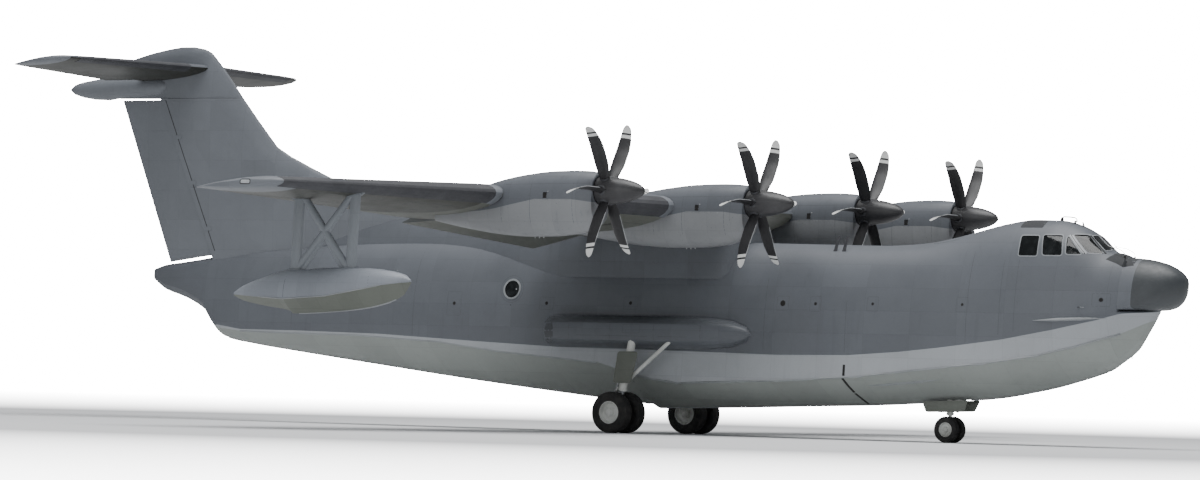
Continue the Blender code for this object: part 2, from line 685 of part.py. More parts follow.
def build_fin(hull):
    """Fin with its long dorsal root, and the rudder behind it."""
    fin = loft("fin", [fin_ring(*row) for row in FIN], "paint_dark")
    carve(fin, hull)
    rings = []
    for z, (trail, trail_z) in zip(RUDDER_Z, RUDDER_TRAIL):
        axis_x = rudder_axis(z)[0]
        nose = [(axis_x - RUDDER_NOSE * math.cos(a), RUDDER_NOSE * math.sin(a), z)
                for a in (0.5 * math.pi + math.pi * step / 8 for step in range(9))]
        rings.append(nose + [(trail, -0.008, trail_z), (trail, 0.008, trail_z)])
    foot, head = Vector(rudder_axis(RUDDER_Z[0])), Vector(rudder_axis(RUDDER_Z[1]))
    rudder = loft("rudder", rings, "paint_dark", tuple(foot))
    along = (head - foot).normalized()
    reach = (FIN_CAP[0][0] - SEAT - PIN_R[1] * math.hypot(along.x, along.y) - head.z) / along.z
    add_pin(rudder, tuple(head - along * 0.05), tuple(head + along * reach))
    return fin, rudder


# Bullet along the fin cap's foot: x, middle z, radius
BULLET = (
    (-13.30, 8.76, 0.10), (-13.60, 8.74, 0.26), (-14.20, 8.74, 0.30), (-14.90, 8.72, 0.28),
    (-15.30, 8.68, 0.30), (-15.80, 8.67, 0.27), (-16.20, 8.67, 0.21), (-16.45, 8.67, 0.14),
    (TAIL_X, 8.67, 0.04),
)


def build_fin_cap():
    """Top of the fin with the round bullet that runs aft from it, one piece."""
    rings = []
    for z, lead, trail, half in FIN_CAP:
        length = lead - trail
        right = [(lead - share * length, -swell(share, half, 0.02)) for share in FIN_SHARES]
        left = [(x, -y) for x, y in reversed(right[1:])]
        rings.append([(x, y, z) for x, y in right + [(trail, -0.015), (trail, 0.015)] + left])
    cap = loft("fin_cap", rings, "paint_dark")
    tube = []
    for x, z, r in BULLET:
        tube.append([(x, r * math.cos(a), z + r * math.sin(a))
                     for a in (2 * math.pi * step / 16 for step in range(16))])
    subtract(cap, hide(loft("bullet_tube", tube, "paint_dark")), "UNION")
    return cap


def tail_ring(y, kind):
    """Tailplane section at y; the elevator is the moving part."""
    share = abs(y) / TAIL_HALF
    lead_x, lead_z, trail_x, trail_z = (
        a + (b - a) * share for a, b in zip(TAIL_ROOT, TAIL_TIP))
    chord = lead_x - trail_x
    ratio = 0.11
    if kind == "fixed":
        section = fixed_section(chord, ratio, ELEVATOR_U)
    elif kind == "moving":
        section = moving_section(chord, ratio, ELEVATOR_U)
    elif kind == "point":
        section = [(ELEVATOR_U * chord, 0.0)]
    else:
        section = whole_section(chord, ratio)
    fall = (lead_z - trail_z) / chord
    return [(lead_x - aft, y, lead_z - aft * fall + up) for aft, up in section]


def build_tailplane(fin_cap):
    """Tailplane halves seated on the fin cap, their tips and the elevators."""
    pieces = {}
    for side, word in ((-1, "right"), (1, "left")):
        spans = [side * 0.02, side * ELEVATOR_Y[0], side * TAIL_JOINT_Y]
        plane = loft(f"tailplane_{word}", [tail_ring(y, "fixed") for y in spans], "paint_dark")
        carve(plane, fin_cap)
        pieces[word] = plane
        rings = []
        for y, shrink in ((TAIL_JOINT_Y + SEAT, 1.0), (5.15, 0.95), (5.28, 0.80), (TAIL_HALF, 0.45)):
            rings.append(shrunk(tail_ring(side * y, "whole"), shrink, 0.85))
        pieces[f"tip_{word}"] = loft(f"tailplane_tip_{word}", rings, "paint_dark")
        spans = [side * ELEVATOR_Y[0], side * ELEVATOR_Y[1]]
        pieces[f"elevator_{word}"] = loft(
            f"elevator_{word}", [tail_ring(y, "moving") for y in spans], "paint_dark",
            tail_ring(side * ELEVATOR_Y[0], "point")[0])
        add_pin(pieces[f"elevator_{word}"], tail_ring(side * (ELEVATOR_Y[1] - 0.05), "point")[0],
                tail_ring(side * TAIL_JOINT_Y, "point")[0])
    return pieces


# Nacelles: distance aft of the front face, half width, top and bottom from the hub height
NACELLE = (
    (0.00, 0.40, 0.42, -0.79),
    (0.22, 0.47, 0.455, -0.91),
    (0.60, 0.52, 0.47, -1.02),
    (1.20, 0.54, 0.455, -1.08),
    (1.90, 0.52, 0.38, -1.09),
    (2.60, 0.46, 0.25, -1.05),
    (3.30, 0.36, 0.04, -0.96),
    (4.00, 0.22, -0.24, -0.84),
    (4.50, 0.08, -0.50, -0.74),
)
SPINNER_L = 1.28
SPINNER_R = 0.325
BLADE_COUNT = 6
BLADE_TURN = 30.0
BLADE_SET = 0.12         # blade roots aft of the hub point


def build_engine(index, side, wing):
    """Nacelle, engine block and propeller for one engine."""
    y0 = side * ENGINE_Y[index]
    z0 = HUB_Z[index]
    word = ("inner", "outer")[index] + ("_right" if side < 0 else "_left")
    face_x = HUB_X[index] - 0.42
    rings = []
    for aft, wide, top, low in NACELLE:
        x = face_x - aft * (1.0 if index else 1.12)
        middle, high = 0.5 * (top + low), 0.5 * (top - low)
        ring = []
        for step in range(16):
            angle = 2 * math.pi * step / 16
            y = wide * math.copysign(abs(math.cos(angle)) ** 0.85, math.cos(angle))
            z = middle + high * math.copysign(abs(math.sin(angle)) ** 0.85, math.sin(angle))
            ring.append((x, y0 + y, z0 + z))
        rings.append(ring)
    nacelle = loft(f"nacelle_{word}", rings, "paint_dark")
    bay = bmesh.new()
    add_tube(bay, (face_x - 1.50, y0, z0 - 0.16), (face_x - 0.10, y0, z0 - 0.16), 0.34, 12)
    bay_guide = hide(finish(f"engine_bay_{word}", bay, "paint_dark"))
    subtract(nacelle, bay_guide)
    intake = bmesh.new()
    add_tube(intake, (face_x - 0.5, y0, z0 - 0.47), (face_x + 0.1, y0, z0 - 0.61), 0.125, 12)
    intake_guide = hide(finish(f"intake_{word}", intake, "paint_dark"))
    subtract(nacelle, intake_guide)
    carve(nacelle, wing)
    block = bmesh.new()
    add_tube(block, (face_x - 1.45, y0, z0 - 0.16), (face_x - 0.10 - SEAT, y0, z0 - 0.16), 0.30, 12)
    engine = finish(f"engine_{word}", block, "engine_grey")
    return nacelle, engine, build_propeller(index, side, word)


def build_propeller(index, side, word):
    """Spinner with six swept blades; the origin is on the shaft axis."""
    hub = Vector((HUB_X[index], side * ENGINE_Y[index], HUB_Z[index]))
    rings = []
    for share in (0.0, 0.12, 0.30, 0.48, 0.66, 0.82, 0.93, 0.985):
        r = SPINNER_R * (1 - max(share - 0.10, 0.0) ** 2 / 0.81) ** 0.60
        x = hub.x - 0.40 + SPINNER_L * share
        rings.append([(x, hub.y + r * math.cos(a), hub.z + r * math.sin(a))
                      for a in (2 * math.pi * step / 18 for step in range(18))])
    spinner = loft(f"propeller_{word}", rings, "prop_black", tuple(hub))
    shaft = bmesh.new()
    add_tube(shaft, (hub.x - 0.38, hub.y, hub.z), (hub.x - 0.42 + SEAT, hub.y, hub.z), 0.11, 18)
    subtract(spinner, hide(finish(f"shaft_{word}", shaft, "prop_black")), "UNION")
    for number in range(BLADE_COUNT):
        guide = blade(hub - Vector((BLADE_SET, 0.0, 0.0)), math.radians(BLADE_TURN + 60 * number), f"blade_{word}_{number}")
        subtract(spinner, guide, "UNION")
    return spinner


# Blade: radius, chord, sweep aft of the pitch line in the disc, thickness, pitch in degrees
BLADE = (
    (0.20, 0.16, 0.00, 0.130, 84),
    (0.42, 0.22, 0.01, 0.090, 83),
    (0.75, 0.33, 0.03, 0.050, 81),
    (1.10, 0.37, 0.03, 0.036, 79),
    (1.42, 0.33, -0.01, 0.026, 77),
    (1.64, 0.25, -0.07, 0.018, 76),
    (BLADE_R, 0.14, -0.12, 0.012, 75),
)


def blade(hub, turn, name):
    """One blade as a loft of flat eight-sided sections, turned to its place on the hub."""
    rings = []
    for radius, chord, sweep, thick, pitch in BLADE:
        a = math.radians(pitch)
        ring = []
        for u, t in ((-0.5, 0.0), (-0.2, 0.6), (0.25, 0.5), (0.5, 0.0), (0.25, -0.3), (-0.2, -0.4)):
            c = u * chord
            w = t * thick
            x = c * math.sin(a) + w * math.cos(a)
            side = sweep + c * math.cos(a) - w * math.sin(a)
            ring.append((x, side, radius))
        rings.append(ring)
    bm = bmesh.new()
    add_loft(bm, rings)
    turned = Matrix.Translation(hub) @ Matrix.Rotation(turn, 4, "X")
    bm.transform(turned)
    return hide(finish(name, bm, "prop_black"))


# Wing floats: x, half width, keel z, chine z, top z
FLOAT_Y = 13.5
FLOAT = (
    (3.68, 0.03, 3.36, 3.42, 3.47),
    (3.52, 0.18, 3.13, 3.40, 3.58),
    (3.08, 0.33, 2.93, 3.33, 3.67),
    (2.40, 0.40, 2.79, 3.20, 3.72),
    (1.60, 0.43, 2.71, 3.06, 3.72),
    (0.42, 0.41, 2.65, 2.98, 3.66),
    (0.40, 0.41, 2.70, 2.98, 3.66),
    (-0.38, 0.30, 2.82, 3.02, 3.48),
    (-1.02, 0.12, 2.94, 3.06, 3.26),
    (-1.26, 0.02, 3.04, 3.07, 3.12),
)
# Struts of a float: top x, bottom x, chord
STRUTS = ((2.10, 1.99, 0.30), (0.54, 0.45, 0.30))
STRUT_THICK = 0.14
BRACE_CHORD = 0.17
BRACE_THICK = 0.06


def float_ring(row, y0):
    x, wide, keel, chine, top = row
    half = [(0.0, keel), (wide, chine)]
    for step in range(1, 6):
        angle = 0.5 * math.pi * step / 5
        half.append((wide * max(math.cos(angle), 0.0) ** 0.9 if step < 5 else 0.0,
                     chine + (top - chine) * math.sin(angle) ** 0.9))
    return [(px, py + y0, pz) for px, py, pz in whole_ring(x, half)]


def add_strut(bm, start, end, chord, thick):
    """A streamlined bar: an eight-sided lens section between two points."""
    rings = []
    for x, y, z in (start, end):
        rings.append([(x + chord * u, y + thick * t, z) for u, t in (
            (0.5, 0.0), (0.32, 0.4), (0.0, 0.5), (-0.32, 0.32),
            (-0.5, 0.0), (-0.32, -0.32), (0.0, -0.5), (0.32, -0.4))])
    add_loft(bm, rings)


def build_float(side, wing_outer):
    word = "right" if side < 0 else "left"
    y0 = side * FLOAT_Y
    body = loft(f"float_{word}", [float_ring(row, y0) for row in FLOAT], "paint_light")
    (front_top, front_low, chord), (rear_top, rear_low, _) = STRUTS
    bars = (
        (front_top, front_low, chord, STRUT_THICK),
        (rear_top, rear_low, chord, STRUT_THICK),
        (front_top - 0.05, rear_low - 0.08, BRACE_CHORD, BRACE_THICK),
        (rear_top + 0.05, front_low + 0.08, BRACE_CHORD, BRACE_THICK),
    )
    frame = None
    for number, (top_x, low_x, wide, thick) in enumerate(bars):
        bm = bmesh.new()
        add_strut(bm, (top_x, y0, 5.45), (low_x, y0, 3.30), wide, thick)
        bar = finish(f"float_struts_{word}" if frame is None else f"float_bar_{number}_{word}", bm, "paint_light")
        if frame is None:
            frame = bar
        else:
            subtract(frame, hide(bar), "UNION")
    carve(frame, wing_outer)
    carve(frame, body)
    return body, frame


# Landing gear

def build_fairing(side, hull):
    """Bulge on the hull side over the main gear, round in front and cut flat aft."""
    rings = []
    spans = ((5.45, 0.02, 0.03), (5.30, 0.20, 0.20), (4.90, 0.42, 0.34), (4.20, 0.58, 0.40),
             (3.00, 0.66, 0.415), (0.60, 0.66, 0.415), (-0.20, 0.62, 0.39), (-0.24, 0.56, 0.35))
    for x, out, high in spans:
        ring = []
        for step in range(16):
            angle = 2 * math.pi * step / 16
            y = (1.10 + (0.16 + out) * math.copysign(abs(math.cos(angle)) ** 0.7, math.cos(angle)))
            z = 2.50 + high * math.copysign(abs(math.sin(angle)) ** 0.7, math.sin(angle))
            ring.append((x, side * y, z))
        rings.append(ring)
    word = "right" if side < 0 else "left"
    fairing = loft(f"gear_fairing_{word}", rings, "paint_dark")
    carve(fairing, hull)
    return fairing


def add_wheel(bm, centre, tyre_r, width, rim_r):
    """One tyre with rounded shoulders and a dished hub, turned about Y."""
    x0, y0, z0 = centre
    profile = (
        (rim_r * 0.80, 0.26), (rim_r, 0.40), (tyre_r * 0.80, 0.50), (tyre_r * 0.95, 0.40), (tyre_r, 0.22),
    )
    outline = [(r, w * width) for r, w in profile]
    outline += [(r, -w) for r, w in reversed(outline)]
    sides = 20
    rings = []
    for r, w in outline:
        rings.append([(x0 + r * math.cos(a), y0 + w, z0 + r * math.sin(a))
                      for a in (2 * math.pi * step / sides for step in range(sides))])
    add_loft(bm, rings)


def build_main_gear(side, fairing):
    word = "right" if side < 0 else "left"
    x0, y0, z0 = WHEEL_X[0], side * TRACK / 2, MAIN_TYRE[0]
    radius, width, half_gap = MAIN_TYRE
    bm = bmesh.new()
    for offset in (-1, 1):
        add_wheel(bm, (x0, y0 + offset * (width / 2 + half_gap), z0), radius, width, 0.27)
    wheels = finish(f"main_wheels_{word}", bm, "tyre_rubber", (x0, y0, z0))
    axle = bmesh.new()
    reach = width + half_gap - 0.02
    add_tube(axle, (x0, y0 - reach, z0), (x0, y0 + reach, z0), 0.055, 16)
    axle_guide = hide(finish(f"axle_union_{word}", axle, "bare_metal"))
    subtract(wheels, axle_guide, "UNION")
    leg = bmesh.new()
    add_tube(leg, (x0 + 0.35, y0, 2.30), (x0 + 0.10, y0, 1.05), 0.10, 16)
    leg_piece = finish(f"main_leg_{word}", leg, "gear_white")
    for name, start, end, r in (
        ("piston", (x0 + 0.10, y0, 1.08), (x0, y0, z0), 0.062),
        ("drag", (x0 + 1.45, y0, 2.30), (x0 + 0.14, y0, 1.22), 0.050),
    ):
        part = bmesh.new()
        add_tube(part, start, end, r, 12)
        guide = hide(finish(f"leg_{name}_{word}", part, "gear_white"))
        subtract(leg_piece, guide, "UNION")
    bore = bmesh.new()
    add_tube(bore, (x0, y0 - 0.3, z0), (x0, y0 + 0.3, z0), 0.0562, 24)
    eye = bmesh.new()
    add_tube(eye, (x0, y0 - 0.075, z0), (x0, y0 + 0.075, z0), 0.105, 20)
    eye_guide = hide(finish(f"leg_eye_{word}", eye, "gear_white"))
    subtract(leg_piece, eye_guide, "UNION")
    bore_guide = hide(finish(f"leg_bore_{word}", bore, "gear_white"))
    subtract(leg_piece, bore_guide)
    carve(leg_piece, fairing)
    return wheels, leg_piece


def build_nose_gear(hull):
    x0, z0 = WHEEL_X[1], NOSE_TYRE[0]
    radius, width, half_gap = NOSE_TYRE
    bm = bmesh.new()
    for offset in (-1, 1):
        add_wheel(bm, (x0, offset * (width / 2 + half_gap + 0.02), z0), radius, width, 0.17)
    wheels = finish("nose_wheels", bm, "tyre_rubber", (x0, 0.0, z0))
    axle = bmesh.new()
    reach = width + half_gap
    add_tube(axle, (x0, -reach, z0), (x0, reach, z0), 0.035, 16)
    subtract(wheels, hide(finish("nose_axle", axle, "bare_metal")), "UNION")
    fork = bmesh.new()
    add_tube(fork, (x0, 0.0, 0.86), (x0, 0.0, z0), 0.048, 16)
    fork_piece = finish("nose_fork", fork, "gear_white", (x0, 0.0, 0.6))
    eye = bmesh.new()
    add_tube(eye, (x0, -0.06, z0), (x0, 0.06, z0), 0.075, 20)
    subtract(fork_piece, hide(finish("nose_eye", eye, "gear_white")), "UNION")
    bore = bmesh.new()
    add_tube(bore, (x0, -0.3, z0), (x0, 0.3, z0), 0.0360, 20)
    subtract(fork_piece, hide(finish("nose_bore", bore, "gear_white")))
    leg = bmesh.new()
    add_tube(leg, (x0, 0.0, 1.25), (x0, 0.0, 0.66), 0.085, 20)
    leg_piece = finish("nose_leg", leg, "gear_white")
    drag = bmesh.new()
    add_tube(drag, (x0 + 0.75, 0.0, 1.25), (x0 + 0.02, 0.0, 0.95), 0.045, 10)
    subtract(leg_piece, hide(finish("nose_drag", drag, "gear_white")), "UNION")
    socket = bmesh.new()
    add_tube(socket, (x0, 0.0, 0.866), (x0, 0.0, 0.50), 0.0492, 20)
    subtract(leg_piece, hide(finish("nose_socket", socket, "gear_white")))
    carve(leg_piece, hull)
    return wheels, fork_piece, leg_piece


def main():
    clear_scene()
    forward, hull = build_hull()
    radome = build_radome()
    build_cockpit()
    wing = build_wing()
    carve(hull, wing["centre"])
    fin, rudder = build_fin(hull)
    build_tailplane(build_fin_cap())
    for index in (0, 1):
        for side in (-1, 1):
            word = "right" if side < 0 else "left"
            build_engine(index, side, wing["centre"] if index == 0 else wing[f"bay_{word}"])
    for side, word in ((-1, "right"), (1, "left")):
        build_float(side, wing[f"outer_{word}"])
        fairing = build_fairing(side, hull)
        build_main_gear(side, fairing)
    build_nose_gear(hull)


main()
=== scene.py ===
"""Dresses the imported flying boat: skins, paint, flight deck, engines, floats and landing gear.

All sizes are metres in the part's frame: x forward, y to port, z up, the ground at z = 0.
"""
from __future__ import annotations

import json
import logging
import math
from dataclasses import dataclass, field
from enum import Enum
from typing import Callable, Iterable, Sequence

import bpy
import numpy as np
from mathutils import Matrix, Vector
from mathutils.bvhtree import BVHTree

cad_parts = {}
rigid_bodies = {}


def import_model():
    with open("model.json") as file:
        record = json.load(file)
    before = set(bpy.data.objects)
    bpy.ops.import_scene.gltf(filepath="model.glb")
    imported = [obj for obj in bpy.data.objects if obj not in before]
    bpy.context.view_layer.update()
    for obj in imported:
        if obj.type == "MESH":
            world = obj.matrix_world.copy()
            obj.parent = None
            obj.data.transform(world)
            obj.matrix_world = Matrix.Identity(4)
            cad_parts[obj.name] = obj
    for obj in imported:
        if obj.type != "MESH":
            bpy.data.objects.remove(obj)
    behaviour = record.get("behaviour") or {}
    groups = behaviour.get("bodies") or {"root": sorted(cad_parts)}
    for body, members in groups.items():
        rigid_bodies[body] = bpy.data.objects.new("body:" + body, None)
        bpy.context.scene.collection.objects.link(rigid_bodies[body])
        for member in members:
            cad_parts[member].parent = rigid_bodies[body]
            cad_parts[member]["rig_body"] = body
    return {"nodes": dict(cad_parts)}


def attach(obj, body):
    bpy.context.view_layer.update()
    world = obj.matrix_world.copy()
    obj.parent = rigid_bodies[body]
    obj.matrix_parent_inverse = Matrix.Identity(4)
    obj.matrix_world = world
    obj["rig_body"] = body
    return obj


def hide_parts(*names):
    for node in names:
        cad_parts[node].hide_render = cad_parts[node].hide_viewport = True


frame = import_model()

Flat = tuple[float, float]
Point = tuple[float, float, float]
Row = tuple[float, ...]
Piece = bpy.types.Object
Socket = bpy.types.NodeSocket
LOG = logging.getLogger("flying_boat")
SIDES = (("right", -1), ("left", 1))
TAU = 2 * math.pi
QUARTER = math.pi / 2


# Node trees

MATH = "ShaderNodeMath"
VECTOR = "ShaderNodeVectorMath"
NOISE = "ShaderNodeTexNoise"
RANGE = "ShaderNodeMapRange"
SPLIT = "ShaderNodeSeparateXYZ"
GREY_SPREAD = (0.3, 0.7)        # where a noise's values mostly lie


def linear(hex_value: str) -> tuple[float, float, float, float]:
    """Turn an sRGB hex colour into linear values.

    Args:
        hex_value: six hex digits after a hash.

    Returns:
        Red, green, blue and a full alpha.
    """
    shares = [int(hex_value[start:start + 2], 16) / 255 for start in (1, 3, 5)]
    return (*[s / 12.92 if s <= 0.04045 else ((s + 0.055) / 1.055) ** 2.4 for s in shares], 1.0)


class Graph:
    """The node tree of one material, laid node by node."""

    def __init__(self, name: str) -> None:
        """Start an empty tree.

        Args:
            name: the material's name.
        """
        self.material = bpy.data.materials.new(name)
        self.material.use_nodes = True
        self.tree = self.material.node_tree
        self.tree.nodes.clear()
        self.last: bpy.types.Node | None = None
        self.place = self.add("ShaderNodeTexCoord", out="Object")
        self.facing = self.last.outputs["Normal"]
        self.x = self.add(SPLIT, [self.place])
        self.y, self.z = self.last.outputs[1:]

    def add(self, kind: str, inputs: Sequence | dict = (), out: int | str = 0, **settings) -> Socket | None:
        """Add one node with its settings and links.

        Args:
            kind: the node's type name.
            inputs: values or sockets, in order or by socket name.
            out: which output to hand back.
            settings: properties of the node.

        Returns:
            The chosen output socket, or None for a node without outputs.
        """
        node = self.tree.nodes.new(kind)
        for key, value in settings.items():
            setattr(node, key, value)
        for key, value in inputs.items() if isinstance(inputs, dict) else enumerate(inputs):
            if isinstance(value, bpy.types.NodeSocket):
                self.tree.links.new(value, node.inputs[key])
            else:
                node.inputs[key].default_value = value
        self.last = node
        return node.outputs[out] if node.outputs else None

    def over(self, value: Socket, edge: float | Socket, soft: float) -> Socket:
        """A mask that turns from 0 to 1 where value passes edge.

        Args:
            value: the socket to test.
            edge: a number or a socket.
            soft: half the width of the change.

        Returns:
            The mask's socket.
        """
        above = self.add(MATH, [value, edge], operation="SUBTRACT")
        return self.add(RANGE, [above, -soft, soft, 0.0, 1.0], interpolation_type="SMOOTHSTEP")

    def mix(self, mask: float | Socket, first: str | Socket, second: str | Socket) -> Socket:
        """Blend two colours by a mask.

        Args:
            mask: a number or a socket from 0 to 1.
            first: hex colour or socket shown at 0.
            second: hex colour or socket shown at 1.

        Returns:
            The colour socket.
        """
        colours = [linear(c) if isinstance(c, str) else c for c in (first, second)]
        return self.add("ShaderNodeMix", {0: mask, 6: colours[0], 7: colours[1]}, 2, data_type="RGBA")

    def table(self, rows: Sequence[Flat]) -> Socket:
        """Read a height off a table of (x, height) rows.

        Args:
            rows: the table, in rising order of x.

        Returns:
            The socket of the height.
        """
        start, end = rows[0][0], rows[-1][0]
        heights = [row[1] for row in rows]
        low, high = min(heights) - 0.01, max(heights) + 0.01
        share = self.add(RANGE, [self.x, start, end, 0.0, 1.0])
        curve = self.add("ShaderNodeFloatCurve", {1: share})
        points = self.last.mapping.curves[0].points
        while len(points) < len(rows):
            points.new(0.5, 0.5)
        for point, (x, height) in zip(points, rows):
            point.location = ((x - start) / (end - start), (height - low) / (high - low))
            point.handle_type = "VECTOR"
        self.last.mapping.update()
        return self.add(RANGE, [curve, 0.0, 1.0, low, high])

    def finish(self, colour: Socket, roughness: float | Socket, height: Socket | None = None,
               depth: float = 1.0, **shader) -> bpy.types.Material:
        """Close the tree with its shader.

        Args:
            colour: socket of the base colour.
            roughness: socket or number.
            height: socket of the relief in metres, where there is one.
            depth: how strongly the relief shows.
            shader: constants of the shader's own sockets, with spaces as underscores.

        Returns:
            The finished material.
        """
        inputs = {"Base Color": colour, "Roughness": roughness}
        inputs.update({key.replace("_", " "): value for key, value in shader.items()})
        if height is not None:
            relief = {"Strength": depth, "Distance": 1.0, "Height": height}
            inputs["Normal"] = self.add("ShaderNodeBump", relief)
        self.add("ShaderNodeOutputMaterial", {"Surface": self.add("ShaderNodeBsdfPrincipled", inputs)})
        return self.material


class Scheme(Enum):
    """Where the tones of a painted piece change."""

    PLAIN = "one tone"
    HULL = "dark above the spray strip, light strip, green-grey planing bottom"
    # The olive grey from below is painted shade: downward faces of wing and tail get a dark tone for the shade
    # under them.
    WING = "dark from above, olive grey from below"
    FLOAT = "blue-grey above the chine, green-grey below"
    NACELLE_INNER = "dark upper half, light lower half, inner engines"
    NACELLE_OUTER = "dark upper half, light lower half, outer engines"


PAINT_LINE = (
    (-14.0, 1.90), (-11.46, 1.90), (-11.39, 2.50), (-11.35, 2.50), (-10.4, 2.38), (-8.3, 2.37), (-5.7, 2.33),
    (-2.5, 2.19), (-0.2, 2.10), (2.26, 2.08), (4.25, 2.05), (6.21, 2.02), (8.17, 2.05), (9.6, 2.16),
    (10.67, 2.28), (12.33, 2.50), (13.68, 2.76), (14.69, 3.00), (15.2, 3.17), (16.2, 3.29),
)
CHINE_LINE = (
    (-14.0, 3.70), (-12.6, 3.26), (-11.8, 2.90), (-11.35, 2.42), (-10.4, 2.34), (-8.6, 2.31), (-6.4, 2.29),
    (-3.8, 2.17), (-1.9, 1.96), (-0.4, 1.85), (1.05, 1.74), (2.05, 1.48), (2.7, 1.36), (3.4, 1.28),
    (6.2, 1.40), (8.5, 1.55), (10.5, 1.79), (11.9, 1.93), (13.27, 2.15), (14.19, 2.38), (15.15, 2.70),
    (16.2, 3.25),
)
FLOAT_CHINE_LINE = (
    (-1.26, 3.07), (-0.38, 3.02), (0.42, 2.98), (1.6, 3.06), (2.4, 3.20), (3.08, 3.33), (3.7, 3.42),
)
NACELLE_LINE = (
    (-4.8, -0.60), (-3.0, -0.50), (-2.6, -0.45), (-1.4, -0.22), (-0.4, -0.22), (0.0, -0.27), (0.3, -0.30),
)
NACELLE_LINE_BACK = 0.42        # how far behind the hub the paint line's table starts
FLOAT_Y = 13.5
HUB_X = (6.52, 5.98)
HUB_Z = (5.65, 5.71)
ENGINE_Y = (2.69, 8.63)
ENGINES = tuple((f"{place}_{word}", index, side)
                for index, place in enumerate(("inner", "outer")) for word, side in SIDES)


@dataclass(frozen=True)
class Enamel:
    """Matt polyurethane aircraft enamel sprayed on riveted aluminium: chalky, with grime in the lap joints."""

    name: str
    slot: str
    dark: str = "#5c6066"
    light: str = "#9fa3a7"
    under: str = "#8e9390"
    scheme: Scheme = Scheme.PLAIN
    panel: Point = (1.27, 60.0, 0.56)       # spacing of the lap joints; over 20 m means none
    seam: float = 0.007         # half width of a lap joint, drawn wide enough to show
    rivet: float = 0.10         # rivet spacing, coarser than the real 25 mm so that it shows
    roughness: float = 0.50
    soot: float = 0.10

    def tones(self, g: Graph) -> Socket:
        """Lay the colour zones.

        Args:
            g: the tree to add to.

        Returns:
            The socket of the paint's colour.
        """
        if self.scheme is Scheme.HULL:
            low = g.mix(g.over(g.z, g.table(CHINE_LINE), 0.006), self.under, self.light)
            return g.mix(g.over(g.z, g.table(PAINT_LINE), 0.008), low, self.dark)
        if self.scheme is Scheme.WING:
            # Downward faces get the under tone, which on wing and tail is painted shade.
            g.add(SPLIT, [g.facing])
            return g.mix(g.over(g.last.outputs[2], 0.0, 0.12), self.under, self.dark)
        if self.scheme is Scheme.FLOAT:
            return g.mix(g.over(g.z, g.table(FLOAT_CHINE_LINE), 0.006), self.under, self.dark)
        if self.scheme is Scheme.PLAIN:
            return g.mix(0.0, self.dark, self.dark)
        index = 0 if self.scheme is Scheme.NACELLE_INNER else 1
        face = HUB_X[index] - NACELLE_LINE_BACK
        edge = g.table([(face + x, HUB_Z[index] + z) for x, z in NACELLE_LINE])
        speck = g.add("ShaderNodeTexVoronoi", {"Vector": g.place, "Scale": 9.0})
        spots = g.add(RANGE, [speck, 0.055, 0.085, 0.75, 0.0])
        return g.mix(g.over(g.z, edge, 0.012), g.mix(spots, self.light, "#4b4d4c"), self.dark)

    def make(self) -> bpy.types.Material:
        """Build the material.

        Returns:
            The painted-metal material.
        """
        g = Graph(self.name)
        colour = self.tones(g)
        shifted = g.add(VECTOR, [g.place, (0.31, 0.17, 0.23)], operation="ADD")
        cell = g.add(VECTOR, [shifted, self.panel], operation="SNAP")
        tint = g.add("ShaderNodeTexWhiteNoise", [cell])
        patchy = g.add(NOISE, {"Vector": g.place, "Scale": 0.55, "Detail": 5.0, "Roughness": 0.6})
        stretched = g.add(VECTOR, [g.place, (3.2, 3.2, 0.35)], operation="MULTIPLY")
        streak = g.add(NOISE, {"Vector": stretched, "Scale": 1.6, "Detail": 6.0, "Roughness": 0.65})
        grain = g.add(NOISE, {"Vector": g.place, "Scale": 34.0, "Detail": 3.0})
        dots = []
        lines, worn, relief = 0.0, 1.0, 0.0
        for axis, size in enumerate(self.panel):
            if size > 20:
                continue
            along = g.add(SPLIT, [shifted], axis)
            near = g.add(MATH, [along, size / 2], operation="PINGPONG")
            joint = g.add(RANGE, [near, self.seam * 0.5, self.seam, 1.0, 0.0])
            lines = g.add(MATH, [lines, joint], operation="MAXIMUM")
            dots.append(g.add(MATH, [along, self.rivet / 2], operation="PINGPONG"))
        reach = 0.0
        for dot in (dots[0], dots[-1]):
            reach = g.add(MATH, [dot, dot, reach], operation="MULTIPLY_ADD")
        rivets = g.add(RANGE, [reach, 0.00004, 0.00009, 1.0, 0.0])
        for value, *span in ((tint, 0.0, 1.0, 0.955, 1.045), (patchy, *GREY_SPREAD, 0.93, 1.06),
                             (streak, 0.56, 0.78, 1.0, 1.0 - self.soot), (grain, *GREY_SPREAD, 0.975, 1.025),
                             (lines, 0.0, 1.0, 1.0, 0.89)):
            worn = g.add(MATH, [worn, g.add(RANGE, [value, *span])], operation="MULTIPLY")
        colour = g.add(VECTOR, {0: colour, 3: worn}, operation="SCALE")
        gloss = g.add(RANGE, [patchy, *GREY_SPREAD, self.roughness - 0.07, self.roughness + 0.10])
        sag = g.add(NOISE, {"Vector": g.place, "Scale": 1.7, "Detail": 1.0})
        for value, height in ((sag, 0.012), (lines, -0.002), (rivets, 0.0009)):
            relief = g.add(MATH, [value, height, relief], operation="MULTIPLY_ADD")
        return g.finish(colour, gloss, relief, 0.55)


